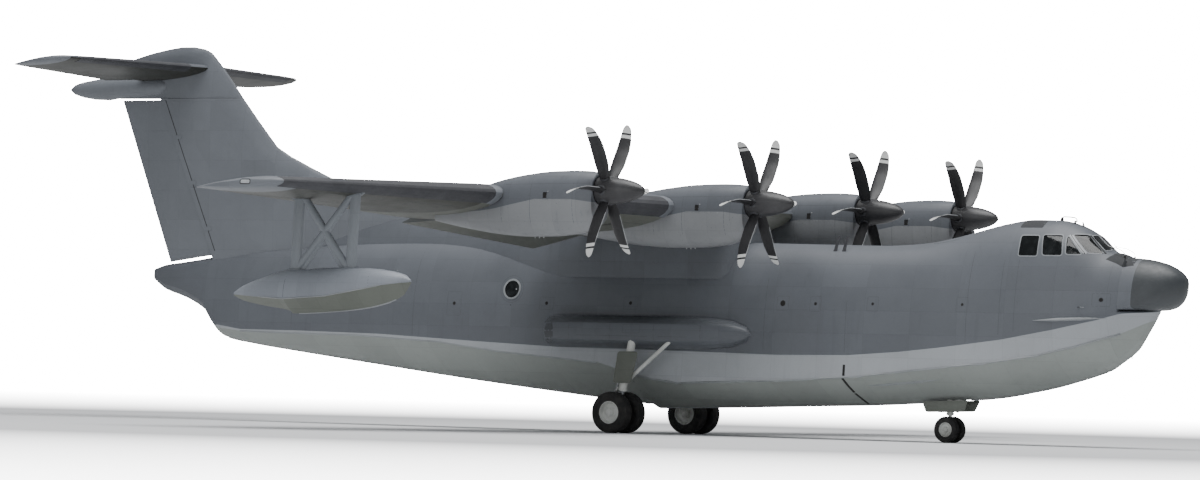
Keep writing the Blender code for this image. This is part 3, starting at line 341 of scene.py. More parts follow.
@dataclass(frozen=True)
class Coating:
    """A one-tone moulded, cast or coated surface with wear: rubber, radome coat, steel, anodised metal."""

    name: str
    slot: str
    colour: str
    worn: str
    roughness: float = 0.5
    spread: float = 0.12
    grain: float = 18.0         # noise cycles per metre
    relief: float = 0.0006      # height of the grain in metres
    metallic: float = 0.0
    coat: float = 0.0

    def make(self) -> bpy.types.Material:
        """Build the material.

        Returns:
            The material.
        """
        g = Graph(self.name)
        wide = g.add(NOISE, {"Vector": g.place, "Scale": self.grain / 8, "Detail": 5.0, "Roughness": 0.6})
        fine = g.add(NOISE, {"Vector": g.place, "Scale": self.grain * 3, "Detail": 4.0, "Roughness": 0.7})
        mask = g.add(RANGE, [wide, 0.42, 0.72, 0.0, 1.0])
        specks = g.add(RANGE, [fine, 0.55, 0.75, 0.0, 0.5])
        mask = g.add(MATH, [mask, specks], operation="ADD", use_clamp=True)
        colour = g.mix(mask, self.colour, self.worn)
        ends = (self.roughness - self.spread / 2, self.roughness + self.spread)
        gloss = g.add(RANGE, [fine, *GREY_SPREAD, *ends])
        height = g.add(MATH, [fine, self.relief], operation="MULTIPLY")
        return g.finish(colour, gloss, height, 0.8, Metallic=self.metallic, Coat_Weight=self.coat)


@dataclass(frozen=True)
class BladePaint:
    """Satin black epoxy on a composite propeller blade, with two white bands by the tip and a worn edge."""

    name: str
    hub: Point
    bands: tuple[Flat, ...] = ((1.435, 1.515), (1.56, 1.80))

    def make(self) -> bpy.types.Material:
        """Build the material.

        Returns:
            The blade's material.
        """
        g = Graph(self.name)
        offset = g.add(VECTOR, [g.place, self.hub], operation="SUBTRACT")
        flat = g.add(VECTOR, [offset, (0.0, 1.0, 1.0)], operation="MULTIPLY")
        radius = g.add(VECTOR, [flat], 1, operation="LENGTH")
        white = 0.0
        for band in self.bands:
            inside = g.add(MATH, [g.over(radius, end, 0.004) for end in band], operation="SUBTRACT")
            white = g.add(MATH, [white, inside], operation="MAXIMUM")
        fine = g.add(NOISE, {"Vector": g.place, "Scale": 26.0, "Detail": 5.0, "Roughness": 0.7})
        chips = g.add(RANGE, [fine, 0.60, 0.72, 0.0, 0.35])
        colour = g.mix(white, g.mix(chips, "#29292b", "#4a4a4b"), g.mix(chips, "#dcdddb", "#a9aaa7"))
        gloss = g.add(RANGE, [fine, *GREY_SPREAD, 0.36, 0.52])
        height = g.add(MATH, [fine, 0.0006], operation="MULTIPLY")
        return g.finish(colour, gloss, height, 0.7)


@dataclass(frozen=True)
class Pane:
    """Stretched acrylic or laminated glass: dark from outside, the dark tone partly painted shade of the unlit
    space behind it, with faint dust and a clean gloss.
    """

    name: str
    colour: str = "#1d2326"
    roughness: float = 0.06
    clear: float = 0.75
    slot: str = "clear_glass"

    def make(self) -> bpy.types.Material:
        """Build the material.

        Returns:
            The glass material.
        """
        g = Graph(self.name)
        dust = g.add(NOISE, {"Vector": g.place, "Scale": 6.0, "Detail": 6.0})
        colour = g.mix(g.add(RANGE, [dust, 0.45, 0.8, 0.0, 0.35]), self.colour, "#5b6265")
        gloss = g.add(RANGE, [dust, 0.4, 0.8, self.roughness, self.roughness + 0.12])
        wave = g.add(MATH, [dust, 0.0004], operation="MULTIPLY")
        shader = {"Transmission_Weight": self.clear, "IOR": 1.49, "Specular_IOR_Level": 0.2}
        return g.finish(colour, gloss, wave, 0.5, **shader)


@dataclass(frozen=True)
class Cloth:
    """Woven wool-blend seat cloth with a 3 mm basket weave, drawn at 9 mm so that it shows."""

    name: str
    colour: str = "#3b4238"
    thread: str = "#565d50"
    pitch: float = 0.009
    slot: str = "seat_cloth"

    def make(self) -> bpy.types.Material:
        """Build the material.

        Returns:
            The cloth material.
        """
        g = Graph(self.name)
        threads = [g.add(MATH, [axis, self.pitch / 2], operation="PINGPONG") for axis in (g.y, g.z)]
        over = g.add(MATH, threads, operation="MAXIMUM")
        weave = g.add(RANGE, [over, 0.0, self.pitch / 2, 0.0, 1.0])
        fade = g.add(NOISE, {"Vector": g.place, "Scale": 7.0, "Detail": 4.0})
        tone = g.mix(weave, self.thread, self.colour)
        colour = g.mix(g.add(RANGE, [fade, *GREY_SPREAD, 0.0, 0.3]), tone, "#2c3029")
        height = g.add(MATH, [weave, -0.0012], operation="MULTIPLY")
        return g.finish(colour, 0.92, height, 0.8, Sheen_Weight=0.25)


DARK, LIGHT, BLACK, METAL, GREY = "paint_dark", "paint_light", "panel_black", "gear_white", "radome_grey"
WING_PANEL = (0.92, 1.15, 60.0)
COWL_PANEL = (0.62, 60.0, 0.52)


class Finish(Enum):
    """The finishes of the aircraft by name, each with its usual material slot."""

    HULL = Enamel("hull_enamel", DARK, scheme=Scheme.HULL)
    HULL_TRIM = Coating("hull_trim_enamel", LIGHT, "#8e9295", "#7d8183", 0.48, 0.14, 9.0, 0.0008)
    SEAM = Coating("seam_sealant", DARK, "#4a4d51", "#585b5f", 0.62, 0.12, 20.0, 0.0004)
    SEAL = Coating("black_rubber_seal", BLACK, "#222426", "#313335", 0.60, 0.12, 24.0, 0.0005)
    BRIGHT_BAR = Coating("bright_frame_enamel", LIGHT, "#a5a8ab", "#909396", 0.34, 0.14, 16.0, 0.0004)
    # Wing and tail undersides are painted shade: their under tones are dark to show the shade below them. The
    # centre wing, bays and flaps take a less dark under tone, which is painted bounce light from the hull.
    WING = Enamel("wing_enamel", LIGHT, under="#33342e", scheme=Scheme.WING, panel=WING_PANEL)
    WING_ROOT = Enamel("wing_root_enamel", LIGHT, under="#60625c", scheme=Scheme.WING, panel=WING_PANEL)
    TAIL = Enamel("tail_enamel", DARK, under="#2c2d28", scheme=Scheme.WING, panel=(0.70, 0.95, 60.0))
    FIN = Enamel("fin_enamel", DARK, dark="#6d7177", panel=(1.05, 60.0, 0.78))
    FLOAT = Enamel("float_enamel", LIGHT, dark="#858a92", under="#646861", scheme=Scheme.FLOAT,
                   panel=(0.55, 60.0, 0.6))
    NACELLE_INNER = Enamel("nacelle_enamel_inner", DARK, light="#85878a", scheme=Scheme.NACELLE_INNER,
                           panel=COWL_PANEL, soot=0.2)
    NACELLE_OUTER = Enamel("nacelle_enamel_outer", DARK, light="#85878a", scheme=Scheme.NACELLE_OUTER,
                           panel=COWL_PANEL, soot=0.2)
    FRAME_GREY = Enamel("window_frame_enamel", LIGHT, dark="#868a8e", panel=(0.9, 60.0, 0.9), seam=0.004)
    STRUT = Enamel("strut_enamel", LIGHT, dark="#767b81", panel=(60.0, 60.0, 1.3), seam=0.006)
    GEAR_WHITE = Coating("gear_enamel", METAL, "#d6d8d4", "#a9aaa4", 0.35, 0.15, 14.0, 0.0004, coat=0.2)
    RADOME = Coating("radome_rain_coat", GREY, "#383c3f", "#464a4d", 0.42, 0.14, 4.0, 0.0015)
    ANTI_GLARE = Coating("anti_glare_black", GREY, "#2f3134", "#3c3e40", 0.75, 0.10, 10.0, 0.0008)
    BOOT = Coating("neoprene_boot", GREY, "#3a3b3f", "#4a4b4f", 0.62, 0.14, 9.0, 0.0012)
    RUBBER = Coating("tyre_rubber_moulded", "tyre_rubber", "#222223", "#3a3937", 0.82, 0.12, 30.0, 0.0010)
    SPINNER = Coating("spinner_satin_black", "prop_black", "#2f2f31", "#404042", 0.38, 0.16, 12.0, 0.0005)
    STEEL = Coating("machined_steel", METAL, "#8d9093", "#5d5f61", 0.30, 0.16, 40.0, 0.0003, metallic=1.0)
    ALLOY = Coating("anodised_aluminium", METAL, "#a5a8aa", "#7b7d7f", 0.38, 0.18, 26.0, 0.0004, metallic=1.0)
    HOT_METAL = Coating("heat_stained_nickel", "engine_grey", "#6a5f55", "#3f3a37", 0.45, 0.20, 12.0, 0.0006,
                        metallic=1.0)
    # Near-black for ducts, vents, slots, gaps and small holes: painted shade of their insides.
    DARK_INSIDE = Coating("soot_black_duct", BLACK, "#151515", "#232220", 0.85, 0.08, 20.0, 0.0008)
    PANEL_BLACK = Coating("panel_crackle_black", BLACK, "#1d1e20", "#2b2c2e", 0.72, 0.10, 60.0, 0.0006)
    SCREEN = Coating("display_glass", BLACK, "#14202a", "#1c2b36", 0.12, 0.06, 8.0, 0.0001, coat=0.6)
    KEY_GREY = Coating("key_grey_plastic", BLACK, "#8b8d8c", "#6e706f", 0.55, 0.10, 60.0, 0.0003)
    WHITE_MARK = Coating("white_gloss_enamel", LIGHT, "#dfe0dd", "#b9bab6", 0.38, 0.14, 16.0, 0.0004)
    PALE_METAL = Coating("pale_primer_metal", METAL, "#b3b6b8", "#8e9193", 0.45, 0.16, 22.0, 0.0005)
    CLEAR_LENS = Coating("clear_lens", "clear_glass", "#c8cccf", "#a9adb0", 0.08, 0.05, 20.0, 0.0001, coat=0.9)
    GLASS = Pane("flight_deck_acrylic")
    # The porthole's glass lies on solid skin: its dark tone is painted shade of the cabin behind it.
    PORT_GLASS = Pane("port_glass", "#171a1c", 0.08, 0.35)
    SEAT = Cloth("seat_cloth_weave")

    def material(self) -> bpy.types.Material:
        """The finish's material, built on first use."""
        return bpy.data.materials.get(self.value.name) or self.value.make()


# Making meshes

MERGE = (bpy.ops.mesh.remove_doubles, {"threshold": 0.00002})
OUTWARD = (bpy.ops.mesh.normals_make_consistent, {"inside": False})


def settle() -> None:
    """Leave edit mode and deselect everything."""
    if bpy.context.object and bpy.context.object.mode != "OBJECT":
        bpy.ops.object.mode_set(mode="OBJECT")
    bpy.ops.object.select_all(action="DESELECT")


def pick(piece: Piece) -> Piece:
    """Select one piece alone and make it active."""
    settle()
    piece.select_set(True)
    bpy.context.view_layer.objects.active = piece
    return piece


def edit(*steps: tuple[Callable, dict]) -> None:
    """Run mesh operators in edit mode, each on all of the active piece.

    Args:
        steps: each operator with its settings.
    """
    bpy.ops.object.mode_set(mode="EDIT")
    for operator, settings in steps:
        bpy.ops.mesh.select_all(action="SELECT")
        operator(**settings)
    bpy.ops.object.mode_set(mode="OBJECT")


def apply(piece: Piece, kind: str, **settings) -> Piece:
    """Add a modifier and apply it.

    Args:
        piece: the piece to change.
        kind: the modifier's type.
        settings: the modifier's properties.

    Returns:
        The same piece.
    """
    pick(piece)
    modifier = piece.modifiers.new(kind.lower(), kind)
    for key, value in settings.items():
        setattr(modifier, key, value)
    bpy.ops.object.modifier_apply(modifier=modifier.name)
    return piece


def web(rows: Sequence[Sequence[Point]], round_rows: bool = True, ends: bool = True) -> Piece:
    """A mesh over a table of points: a flat grid primitive whose vertices go to their places.

    Args:
        rows: equal rows of points.
        round_rows: each row closes on itself.
        ends: the open ends of a closed run are filled.

    Returns:
        The new object, with its faces pointing outwards where it is closed.
    """
    settle()
    table = [[*row, row[0]] if round_rows else list(row) for row in rows]
    bpy.ops.mesh.primitive_grid_add(x_subdivisions=len(table[0]) - 1, y_subdivisions=len(table) - 1, size=1.0)
    piece = bpy.context.object
    piece.data.vertices.foreach_set("co", np.array(table, dtype=np.float32).reshape(-1))
    piece.matrix_world = Matrix.Identity(4)
    piece.data.update()
    steps = [MERGE] if round_rows else []
    if ends:
        steps.append((bpy.ops.mesh.fill_holes, {"sides": 0}))
    if steps:
        edit(*steps, OUTWARD)
    return piece


def ease(rows: Sequence[Row], places: Iterable[float]) -> list[Row]:
    """Read a table between its rows along smooth curves that never overshoot.

    Args:
        rows: rows whose first value is the place.
        places: where to read.

    Returns:
        A row for each place.
    """
    table = np.array(sorted(rows), dtype=float)
    at, values = table[:, 0], table[:, 1:]
    slope = np.diff(values, axis=0) / np.diff(at)[:, None]
    bend = np.zeros_like(values)
    product = slope[:-1] * slope[1:]
    total = np.where(product > 0, slope[:-1] + slope[1:], 1.0)
    bend[1:-1] = np.where(product > 0, 2 * product / total, 0.0)
    bend[0], bend[-1] = slope[0], slope[-1]
    result = []
    for place in places:
        spot = min(max(place, at[0]), at[-1])
        k = max(min(int(np.searchsorted(at, spot, side="right")) - 1, len(at) - 2), 0)
        h = at[k + 1] - at[k]
        t = (spot - at[k]) / h
        low = values[k] * (1 + 2 * t) * (1 - t) ** 2 + bend[k] * h * t * (1 - t) ** 2
        high = values[k + 1] * t * t * (3 - 2 * t) + bend[k + 1] * h * t * t * (t - 1)
        result.append((float(place), *(low + high).tolist()))
    return result


def stations(rows: Sequence[Row], count: int) -> list[float]:
    """Places along a table: each of its rows and enough between them.

    Args:
        rows: the table.
        count: about how many in all.

    Returns:
        Places in falling order.
    """
    own = sorted({row[0] for row in rows}, reverse=True)
    pitch = (own[0] - own[-1]) / count
    places = []
    for high, low in zip(own, own[1:]):
        parts = max(1, round((high - low) / pitch))
        places += [high + (low - high) * part / parts for part in range(parts)]
    return places + [own[-1]]


def loft(rows: Sequence[Row], count: int, section: Callable[[Row], list[Point]]) -> list[list[Point]]:
    """The sections along a smoothed table."""
    return [section(row) for row in ease(rows, stations(rows, count))]


def solid(piece: Piece, thickness: float) -> Piece:
    """Give a sheet its thickness, outwards."""
    return apply(piece, "SOLIDIFY", thickness=thickness, offset=1.0, use_even_offset=True)


def soften(piece: Piece, width: float, segments: int = 2) -> Piece:
    """Round a piece's sharp edges."""
    limit = {"limit_method": "ANGLE", "angle_limit": math.radians(38)}
    return apply(piece, "BEVEL", width=width, segments=segments, **limit)


def weigh(piece: Piece) -> Piece:
    """Lean the shading of rounded edges towards the large faces."""
    return apply(piece, "WEIGHTED_NORMAL", keep_sharp=True, weight=80)


def cut(piece: Piece, tool: Piece) -> Piece:
    """Cut a piece with a closed tool, and drop the tool."""
    apply(piece, "BOOLEAN", object=tool, operation="DIFFERENCE", solver="EXACT")
    bpy.data.objects.remove(tool, do_unlink=True)
    return piece


def join(pieces: Sequence[Piece]) -> Piece:
    """Join pieces that have one finish into one object."""
    pick(pieces[0])
    for piece in pieces:
        piece.select_set(True)
    if len(pieces) > 1:
        bpy.ops.object.join()
    return bpy.context.view_layer.objects.active


def block(low: Point, high: Point, bevel: float = 0.0, segments: int = 2) -> Piece:
    """A box with rounded edges: a cube primitive moved to its corners and bevelled.

    Args:
        low: lowest corner.
        high: highest corner.
        bevel: radius of the edges.
        segments: faces across an edge.

    Returns:
        The new object.
    """
    settle()
    bpy.ops.mesh.primitive_cube_add(size=1.0)
    piece = bpy.context.object
    low_v, high_v = Vector(low), Vector(high)
    size = Matrix.Diagonal((*(high_v - low_v), 1.0))
    piece.data.transform(Matrix.Translation((low_v + high_v) / 2) @ size)
    if bevel:
        edit((bpy.ops.mesh.bevel, {"offset": bevel, "segments": segments, "affect": "EDGES"}))
    return piece


def slab(outline: Sequence[Flat], low: float, high: float) -> Piece:
    """A flat outline pushed along y.

    Args:
        outline: its (x, z) points.
        low: where the push starts.
        high: where it ends.

    Returns:
        The new closed object.
    """
    return web([[(x, end, z) for x, z in outline] for end in (low, high)])


def circle(middle: Vector, across: Vector, beside: Vector, radius: float, steps: int) -> list[Vector]:
    """Points around a circle that lies in two directions."""
    turns = [TAU * step / steps for step in range(steps)]
    return [middle + (across * math.cos(a) + beside * math.sin(a)) * radius for a in turns]


def lathe(profile: Sequence[Flat], centre: Point, axis: Point, steps: int = 32, closed: bool = True) -> Piece:
    """Turn a profile about an axis.

    Args:
        profile: (radius, distance along the axis) points.
        centre: the axis's foot.
        axis: its direction.
        steps: faces around.
        closed: the profile closes on itself, as a ring's does; otherwise its ends are filled.

    Returns:
        The new object.
    """
    along = Vector(axis).normalized()
    across = along.orthogonal().normalized()
    beside = along.cross(across)
    rings = [circle(Vector(centre) + along * way, across, beside, max(radius, 0.0004), steps)
             for radius, way in [*profile, *([profile[0]] if closed else [])]]
    piece = web(rings, ends=not closed)
    if closed:
        edit(MERGE, OUTWARD)
    return piece


def rod(path: Sequence[Point], radius: float | Sequence[float], sides: int = 12) -> Piece:
    """A round bar or pipe along a path.

    Args:
        path: two or more points.
        radius: one radius, or one for each point.
        sides: faces around.

    Returns:
        The new closed object.
    """
    points = [Vector(p) for p in path]
    radii = [radius] * len(points) if isinstance(radius, (int, float)) else radius
    across = (points[1] - points[0]).normalized().orthogonal()
    rings = []
    for k, point in enumerate(points):
        along = (points[min(k + 1, len(points) - 1)] - points[max(k - 1, 0)]).normalized()
        across = (across - along * across.dot(along)).normalized()
        rings.append(circle(point, across, along.cross(across), radii[k], sides))
    return web(rings)


def pin(start: Point, end: Point, radius: float, sides: int = 16) -> Piece:
    """A bar whose ends are chamfered by a fifth of its radius."""
    a, b = Vector(start), Vector(end)
    step = (b - a).normalized() * radius * 0.2
    return rod([a, a + step, b - step, b], [radius * 0.8, radius, radius, radius * 0.8], sides)


def eye(centre: Point, radius: float, wire: float, round_wire: int, round_eye: int) -> Piece:
    """A small ring that stands along x."""
    turns = [TAU * k / round_wire for k in range(round_wire)]
    ring = [(radius + wire * math.cos(a), wire * math.sin(a)) for a in turns]
    return lathe(ring, centre, (0, 1, 0), round_eye)


class Skin:
    """Rays onto finished surfaces, so that details sit on them."""

    def __init__(self, *pieces: Piece) -> None:
        """Gather the surfaces.

        Args:
            pieces: objects at the origin whose meshes are final.
        """
        points: list[Vector] = []
        faces: list[list[int]] = []
        for piece in pieces:
            base = len(points)
            points += [v.co.copy() for v in piece.data.vertices]
            faces += [[base + i for i in f.vertices] for f in piece.data.polygons]
        self.tree = BVHTree.FromPolygons(points, faces)

    def hit(self, start: Point, way: Point) -> tuple[Vector, Vector]:
        """Where a ray meets the surface, and the surface's outward direction there.

        Args:
            start: the ray's start.
            way: its direction.

        Returns:
            The point and the normal; the nearest point where the ray misses.
        """
        aim = Vector(way).normalized()
        spot, normal, _, _ = self.tree.ray_cast(Vector(start), aim)
        if spot is None:
            spot, normal, _, _ = self.tree.find_nearest(Vector(start))
            aim = (spot - Vector(start)).normalized()
        return spot, -normal if normal.dot(aim) > 0 else normal

    def drape(self, rows: Sequence[Sequence[Point]], way: Point, thick: float, bury: float = 0.003,
              round_rows: bool = False) -> Piece:
        """A thin plate that follows the surface.

        Args:
            rows: starts of the rays, in equal rows.
            way: the rays' direction.
            thick: how far the plate stands proud.
            bury: how far its back lies below the surface.
            round_rows: each row closes on itself.

        Returns:
            The new closed object.
        """
        hits = [[self.hit(start, way) for start in row] for row in rows]
        piece = web([[spot - normal * bury for spot, normal in row] for row in hits], round_rows, False)
        if piece.data.polygons[0].normal.dot(hits[0][0][1]) < 0:
            piece.data.flip_normals()
        return solid(piece, thick + bury)

    def strip(self, path: Sequence[Point], way: Point, width: float, thick: float) -> Piece:
        """A narrow plate along a path on the surface.

        Args:
            path: starts of the rays along the middle.
            way: the rays' direction.
            width: the strip's width.
            thick: how far it stands proud.

        Returns:
            The new closed object.
        """
        aim = Vector(way).normalized()
        rows = []
        points = [Vector(p) for p in path]
        for k, point in enumerate(points):
            along = points[min(k + 1, len(points) - 1)] - points[max(k - 1, 0)]
            side = along.cross(aim).normalized() * width / 2
            rows.append([point - side, point, point + side])
        return self.drape(rows, way, thick)


def place(piece: Piece, name: str, finish: Finish, *nodes: str, body: str = "airframe", slot: str = "",
          angle: float = 32.0) -> Piece:
    """Dress a finished piece and hang it on its body.

    Args:
        piece: the piece.
        name: its name.
        finish: its finish.
        nodes: CAD nodes that it stands for.
        body: the CAD body it rides on.
        slot: the record's material slot, where it isn't the finish's usual one; worked out but not used.
        angle: edges sharper than this stay sharp.

    Returns:
        The same piece.
    """
    pick(piece)
    piece.name = name
    piece.data.name = name
    bpy.ops.object.shade_smooth_by_angle(angle=math.radians(angle))
    piece.data.materials.clear()
    piece.data.materials.append(finish.material())
    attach(piece, body)
    slot = slot or finish.value.slot
    if nodes:
        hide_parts(*nodes)
    LOG.info("%s on %s: %d faces", piece.name, body, len(piece.data.polygons))
    return piece


def twin(source: Piece) -> Piece:
    """A copy of a piece with its own mesh, unparented, alone selected."""
    piece = bpy.data.objects.new("twin", source.data.copy())
    bpy.context.scene.collection.objects.link(piece)
    return pick(piece)


def skin_of(node: str, finish: Finish, angle: float = 30.0, slot: str = "", name: str = "") -> Piece:
    """Stand a smooth copy of a CAD node in its place, its loose triangles merged.

    Args:
        node: the CAD node.
        finish: its finish.
        angle: edges sharper than this stay sharp.
        slot: the record's material slot, where it isn't the finish's usual one.
        name: the piece's name, where it isn't the node's with skin added.

    Returns:
        The new piece.
    """
    source = frame["nodes"][node]
    piece = twin(source)
    bpy.ops.mesh.customdata_custom_splitnormals_clear()
    flat = (bpy.ops.mesh.dissolve_limited, {"angle_limit": math.radians(0.4)})
    edit(MERGE, (bpy.ops.mesh.mark_sharp, {"clear": True}), flat)
    place(piece, name or f"{node}_skin", finish, node, body=source["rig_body"], slot=slot, angle=angle)
    return weigh(piece)


def edge_band(source: Piece, lead: Callable[[float], Vector], side: int, span: Flat, width: float, thick: float,
              aft: Vector | None = None) -> Piece:
    """A band of a skin behind its leading edge, as a thin layer on top of it.

    Args:
        source: the skin.
        lead: gives the leading edge's point at a span place.
        side: 1 for port, -1 for starboard.
        span: where the band starts and ends along the span.
        width: how far aft it reaches.
        thick: the layer's thickness.
        aft: direction of its width; square to the leading edge where it is left out.

    Returns:
        The new closed object.
    """
    start, end = (lead(side * y) for y in span)
    run = (end - start).normalized()
    aft = aft or Vector((-abs(run.y), run.x * math.copysign(1.0, run.y), 0.0))
    planes = [(start + aft.normalized() * width, aft), ((0.0, side * span[0], 0.0), (0.0, -side, 0.0)),
              ((0.0, side * span[1], 0.0), (0.0, side, 0.0))]
    piece = twin(source)
    for point, away in planes:
        edit((bpy.ops.mesh.bisect, {"plane_co": point, "plane_no": away, "clear_outer": True}))
    return solid(piece, thick)


def arch(wide: float, low: float, high: float, power: float, steps: int, start: float = 0.0) -> list[Flat]:
    """Half of a rounded arch, from its foot at the side to its crown on the centre line.

    Args:
        wide: half width at the foot.
        low: height of the foot.
        high: height of the crown.
        power: 1 for an ellipse, less for a squarer arch.
        steps: how many parts.
        start: angle where it starts above the foot.

    Returns:
        (y, z) points.
    """
    turns = [start + (QUARTER - start) * step / steps for step in range(steps)]
    rise = high - low
    return [(wide * math.cos(a) ** power, low + rise * math.sin(a) ** power) for a in turns] + [(0.0, high)]


def bent(value: float, power: float) -> float:
    """A signed power, which squares off the circle's sine and cosine."""
    return math.copysign(abs(value) ** power, value)


def whole(x: float, half: Sequence[Flat]) -> list[Point]:
    """Mirror a half section that starts and ends on the centre line into a closed one."""
    return [(x, -y, z) for y, z in half] + [(x, y, z) for y, z in reversed(half[1:-1])]


# Hull and nose

@dataclass
class Hull:
    """Planing hull: V bottom, chines, spray strip, rounded upper body, saddle under the wing."""

    # x, keel z, chine y, chine z, side y, side z, top z, roundness of the upper body
    fore: tuple[Row, ...] = (
        (15.15, 2.13, 0.56, 2.70, 0.78, 3.22, 4.53, 2.1),
        (14.96, 2.00, 0.68, 2.62, 0.88, 3.14, 4.60, 2.2),
        (14.67, 1.84, 0.84, 2.52, 1.00, 3.02, 4.66, 2.4),
        (14.19, 1.67, 1.00, 2.38, 1.12, 2.88, 5.07, 2.3),
        (13.85, 1.57, 1.08, 2.29, 1.18, 2.80, 5.25, 2.2),
        (13.27, 1.41, 1.18, 2.15, 1.24, 2.68, 5.39, 2.2),
        (12.55, 1.26, 1.24, 2.01, 1.26, 2.53, 5.40, 2.2),
        (11.90, 1.14, 1.28, 1.93, 1.27, 2.43, 5.31, 2.2),
        (11.3003, 1.07, 1.30, 1.86, 1.27, 2.36, 5.17, 2.2),
    )
    bow: tuple[Row, ...] = (
        (15.152, 2.13, 0.56, 2.70, 0.78, 3.20, 3.279, 2.1),
        (15.40, 2.34, 0.40, 2.80, 0.60, 3.20, 3.279, 2.1),
        (15.64, 2.72, 0.24, 2.95, 0.38, 3.20, 3.279, 2.1),
        (15.82, 3.04, 0.11, 3.12, 0.18, 3.22, 3.279, 2.1),
        (15.92, 3.22, 0.02, 3.23, 0.03, 3.25, 3.279, 2.1),
    )
    main: tuple[Row, ...] = (
        (11.30, 1.07, 1.30, 1.86, 1.27, 2.36, 5.17, 2.2),
        (10.50, 1.02, 1.31, 1.79, 1.28, 2.28, 4.96, 2.3),
        (9.60, 0.95, 1.32, 1.68, 1.29, 2.16, 4.80, 2.5),
        (8.50, 0.88, 1.32, 1.55, 1.29, 2.06, 4.74, 2.6),
        (6.20, 0.79, 1.32, 1.40, 1.29, 2.01, 4.76, 2.6),
        (4.70, 0.73, 1.32, 1.29, 1.29, 2.04, 4.78, 2.6),
        (3.40, 0.69, 1.32, 1.28, 1.29, 2.06, 4.80, 2.6),
        (2.70, 0.67, 1.32, 1.36, 1.29, 2.07, 4.80, 2.6),
        (2.05, 0.65, 1.32, 1.48, 1.29, 2.08, 4.80, 2.6),
        (1.91, 0.73, 1.32, 1.50, 1.29, 2.08, 4.80, 2.6),
        (1.05, 0.81, 1.33, 1.74, 1.29, 2.09, 4.80, 2.6),
        (-0.40, 0.94, 1.33, 1.85, 1.29, 2.10, 4.80, 2.6),
        (-1.90, 1.08, 1.30, 1.96, 1.28, 2.16, 4.80, 2.6),
        (-3.80, 1.27, 1.24, 2.17, 1.24, 2.24, 4.78, 2.5),
        (-6.40, 1.56, 1.08, 2.29, 1.09, 2.35, 4.70, 2.3),
        (-8.60, 1.81, 0.87, 2.31, 0.88, 2.37, 4.56, 2.2),
        (-10.40, 2.03, 0.62, 2.34, 0.64, 2.40, 4.42, 2.1),
        (-11.35, 2.20, 0.42, 2.42, 0.46, 2.50, 4.32, 2.0),
        (-11.80, 2.76, 0.30, 2.90, 0.40, 3.05, 4.25, 2.0),
        (-12.60, 3.18, 0.20, 3.26, 0.30, 3.40, 4.13, 2.0),
        (-13.30, 3.40, 0.10, 3.45, 0.16, 3.56, 4.04, 2.0),
        (-13.68, 3.66, 0.02, 3.68, 0.03, 3.74, 3.92, 2.0),
    )
    # x, half width, base z, top z, roundness
    saddle: tuple[Row, ...] = (
        (4.84, 0.60, 4.20, 4.74, 2.4), (4.74, 0.90, 4.00, 5.10, 2.6), (4.62, 1.04, 3.90, 5.55, 2.8),
        (4.40, 1.10, 3.85, 5.82, 3.0), (4.05, 1.12, 3.85, 5.93, 3.0), (3.40, 1.13, 3.85, 5.93, 3.0),
        (2.40, 1.13, 3.85, 5.83, 3.0), (1.00, 1.13, 3.85, 5.72, 3.0), (-0.30, 1.10, 3.85, 5.62, 2.8),
        (-1.20, 1.02, 3.95, 5.55, 2.5), (-2.20, 0.88, 4.10, 5.48, 2.1), (-3.40, 0.68, 4.30, 5.42, 1.7),
        (-4.80, 0.50, 4.35, 5.44, 1.5), (-6.20, 0.38, 4.35, 5.50, 1.4), (-7.60, 0.28, 4.30, 5.40, 1.3),
        (-8.70, 0.20, 4.20, 5.00, 1.2),
    )
    # where the bottom's breaks lie between centre line and chine, across and up
    bottom: tuple[Flat, ...] = ((0.0, 0.0), (0.26, 0.20), (0.52, 0.42), (0.78, 0.71), (1.0, 1.0))
    steps: int = 18
    wall: float = 0.035
    floor: float = 3.75
    cabin: Flat = (11.55, 14.76)
    # aft x at sill and top, fore x at sill and top, sill z, top z, how far in the cut reaches
    windows: tuple[Row, ...] = (
        (12.60, 12.55, 13.10, 13.03, 4.51, 5.00, 0.30),
        (13.24, 13.13, 13.73, 13.62, 4.53, 5.02, 0.30),
        (13.82, 13.73, 14.20, 13.77, 4.56, 4.99, 0.30),
        (14.32, 13.84, 14.60, 14.16, 4.60, 5.04, 0.35),
    )
    screen_foot: Flat = (14.62, 4.70)
    screen_head: Flat = (14.22, 5.02)
    screen_span: Flat = (0.03, 0.30)
    # radome: rear x, tip x, sill z, top z, half width, z of its middle, rings behind the dark coat
    nose: Row = (15.1525, 16.599, 3.28, 4.51, 0.78, 3.91, 4)
    skins: dict[str, Piece] = field(default_factory=dict)

    def section(self, row: Row) -> list[Point]:
        """The closed hull section of a table row."""
        x, keel, chine_y, chine_z, side_y, side_z, top, n = row
        half = [(y * chine_y, keel + z * (chine_z - keel)) for y, z in self.bottom]
        return whole(x, half + arch(side_y, side_z, top, 2 / n, self.steps))

    def saddle_section(self, row: Row) -> list[Point]:
        """The closed saddle section of a table row."""
        x, wide, base, top, n = row
        return whole(x, [(0.0, base), *arch(wide, base, top, 2 / n, self.steps)])

    def cabin_section(self, row: Row) -> list[Point]:
        """The flight deck's inner section above its floor."""
        x, _, _, _, side_y, side_z, top, n = row
        top -= self.wall
        rise = min(max((self.floor - side_z) / (top - side_z), 0.0), 0.98)
        start = math.asin(rise ** (n / 2))
        upper = arch(side_y - self.wall, side_z, top, 2 / n, self.steps, start)
        return whole(x, [(0.0, self.floor), *[(y, max(z, self.floor)) for y, z in upper]])

    def window_outlines(self) -> list[list[Flat]]:
        """The side windows' outlines with rounded corners."""
        return [rounded([(aft_low, sill), (fore_low, sill), (fore_top, top), (aft_top, top)], 0.06)
                for aft_low, aft_top, fore_low, fore_top, sill, top, _ in self.windows]

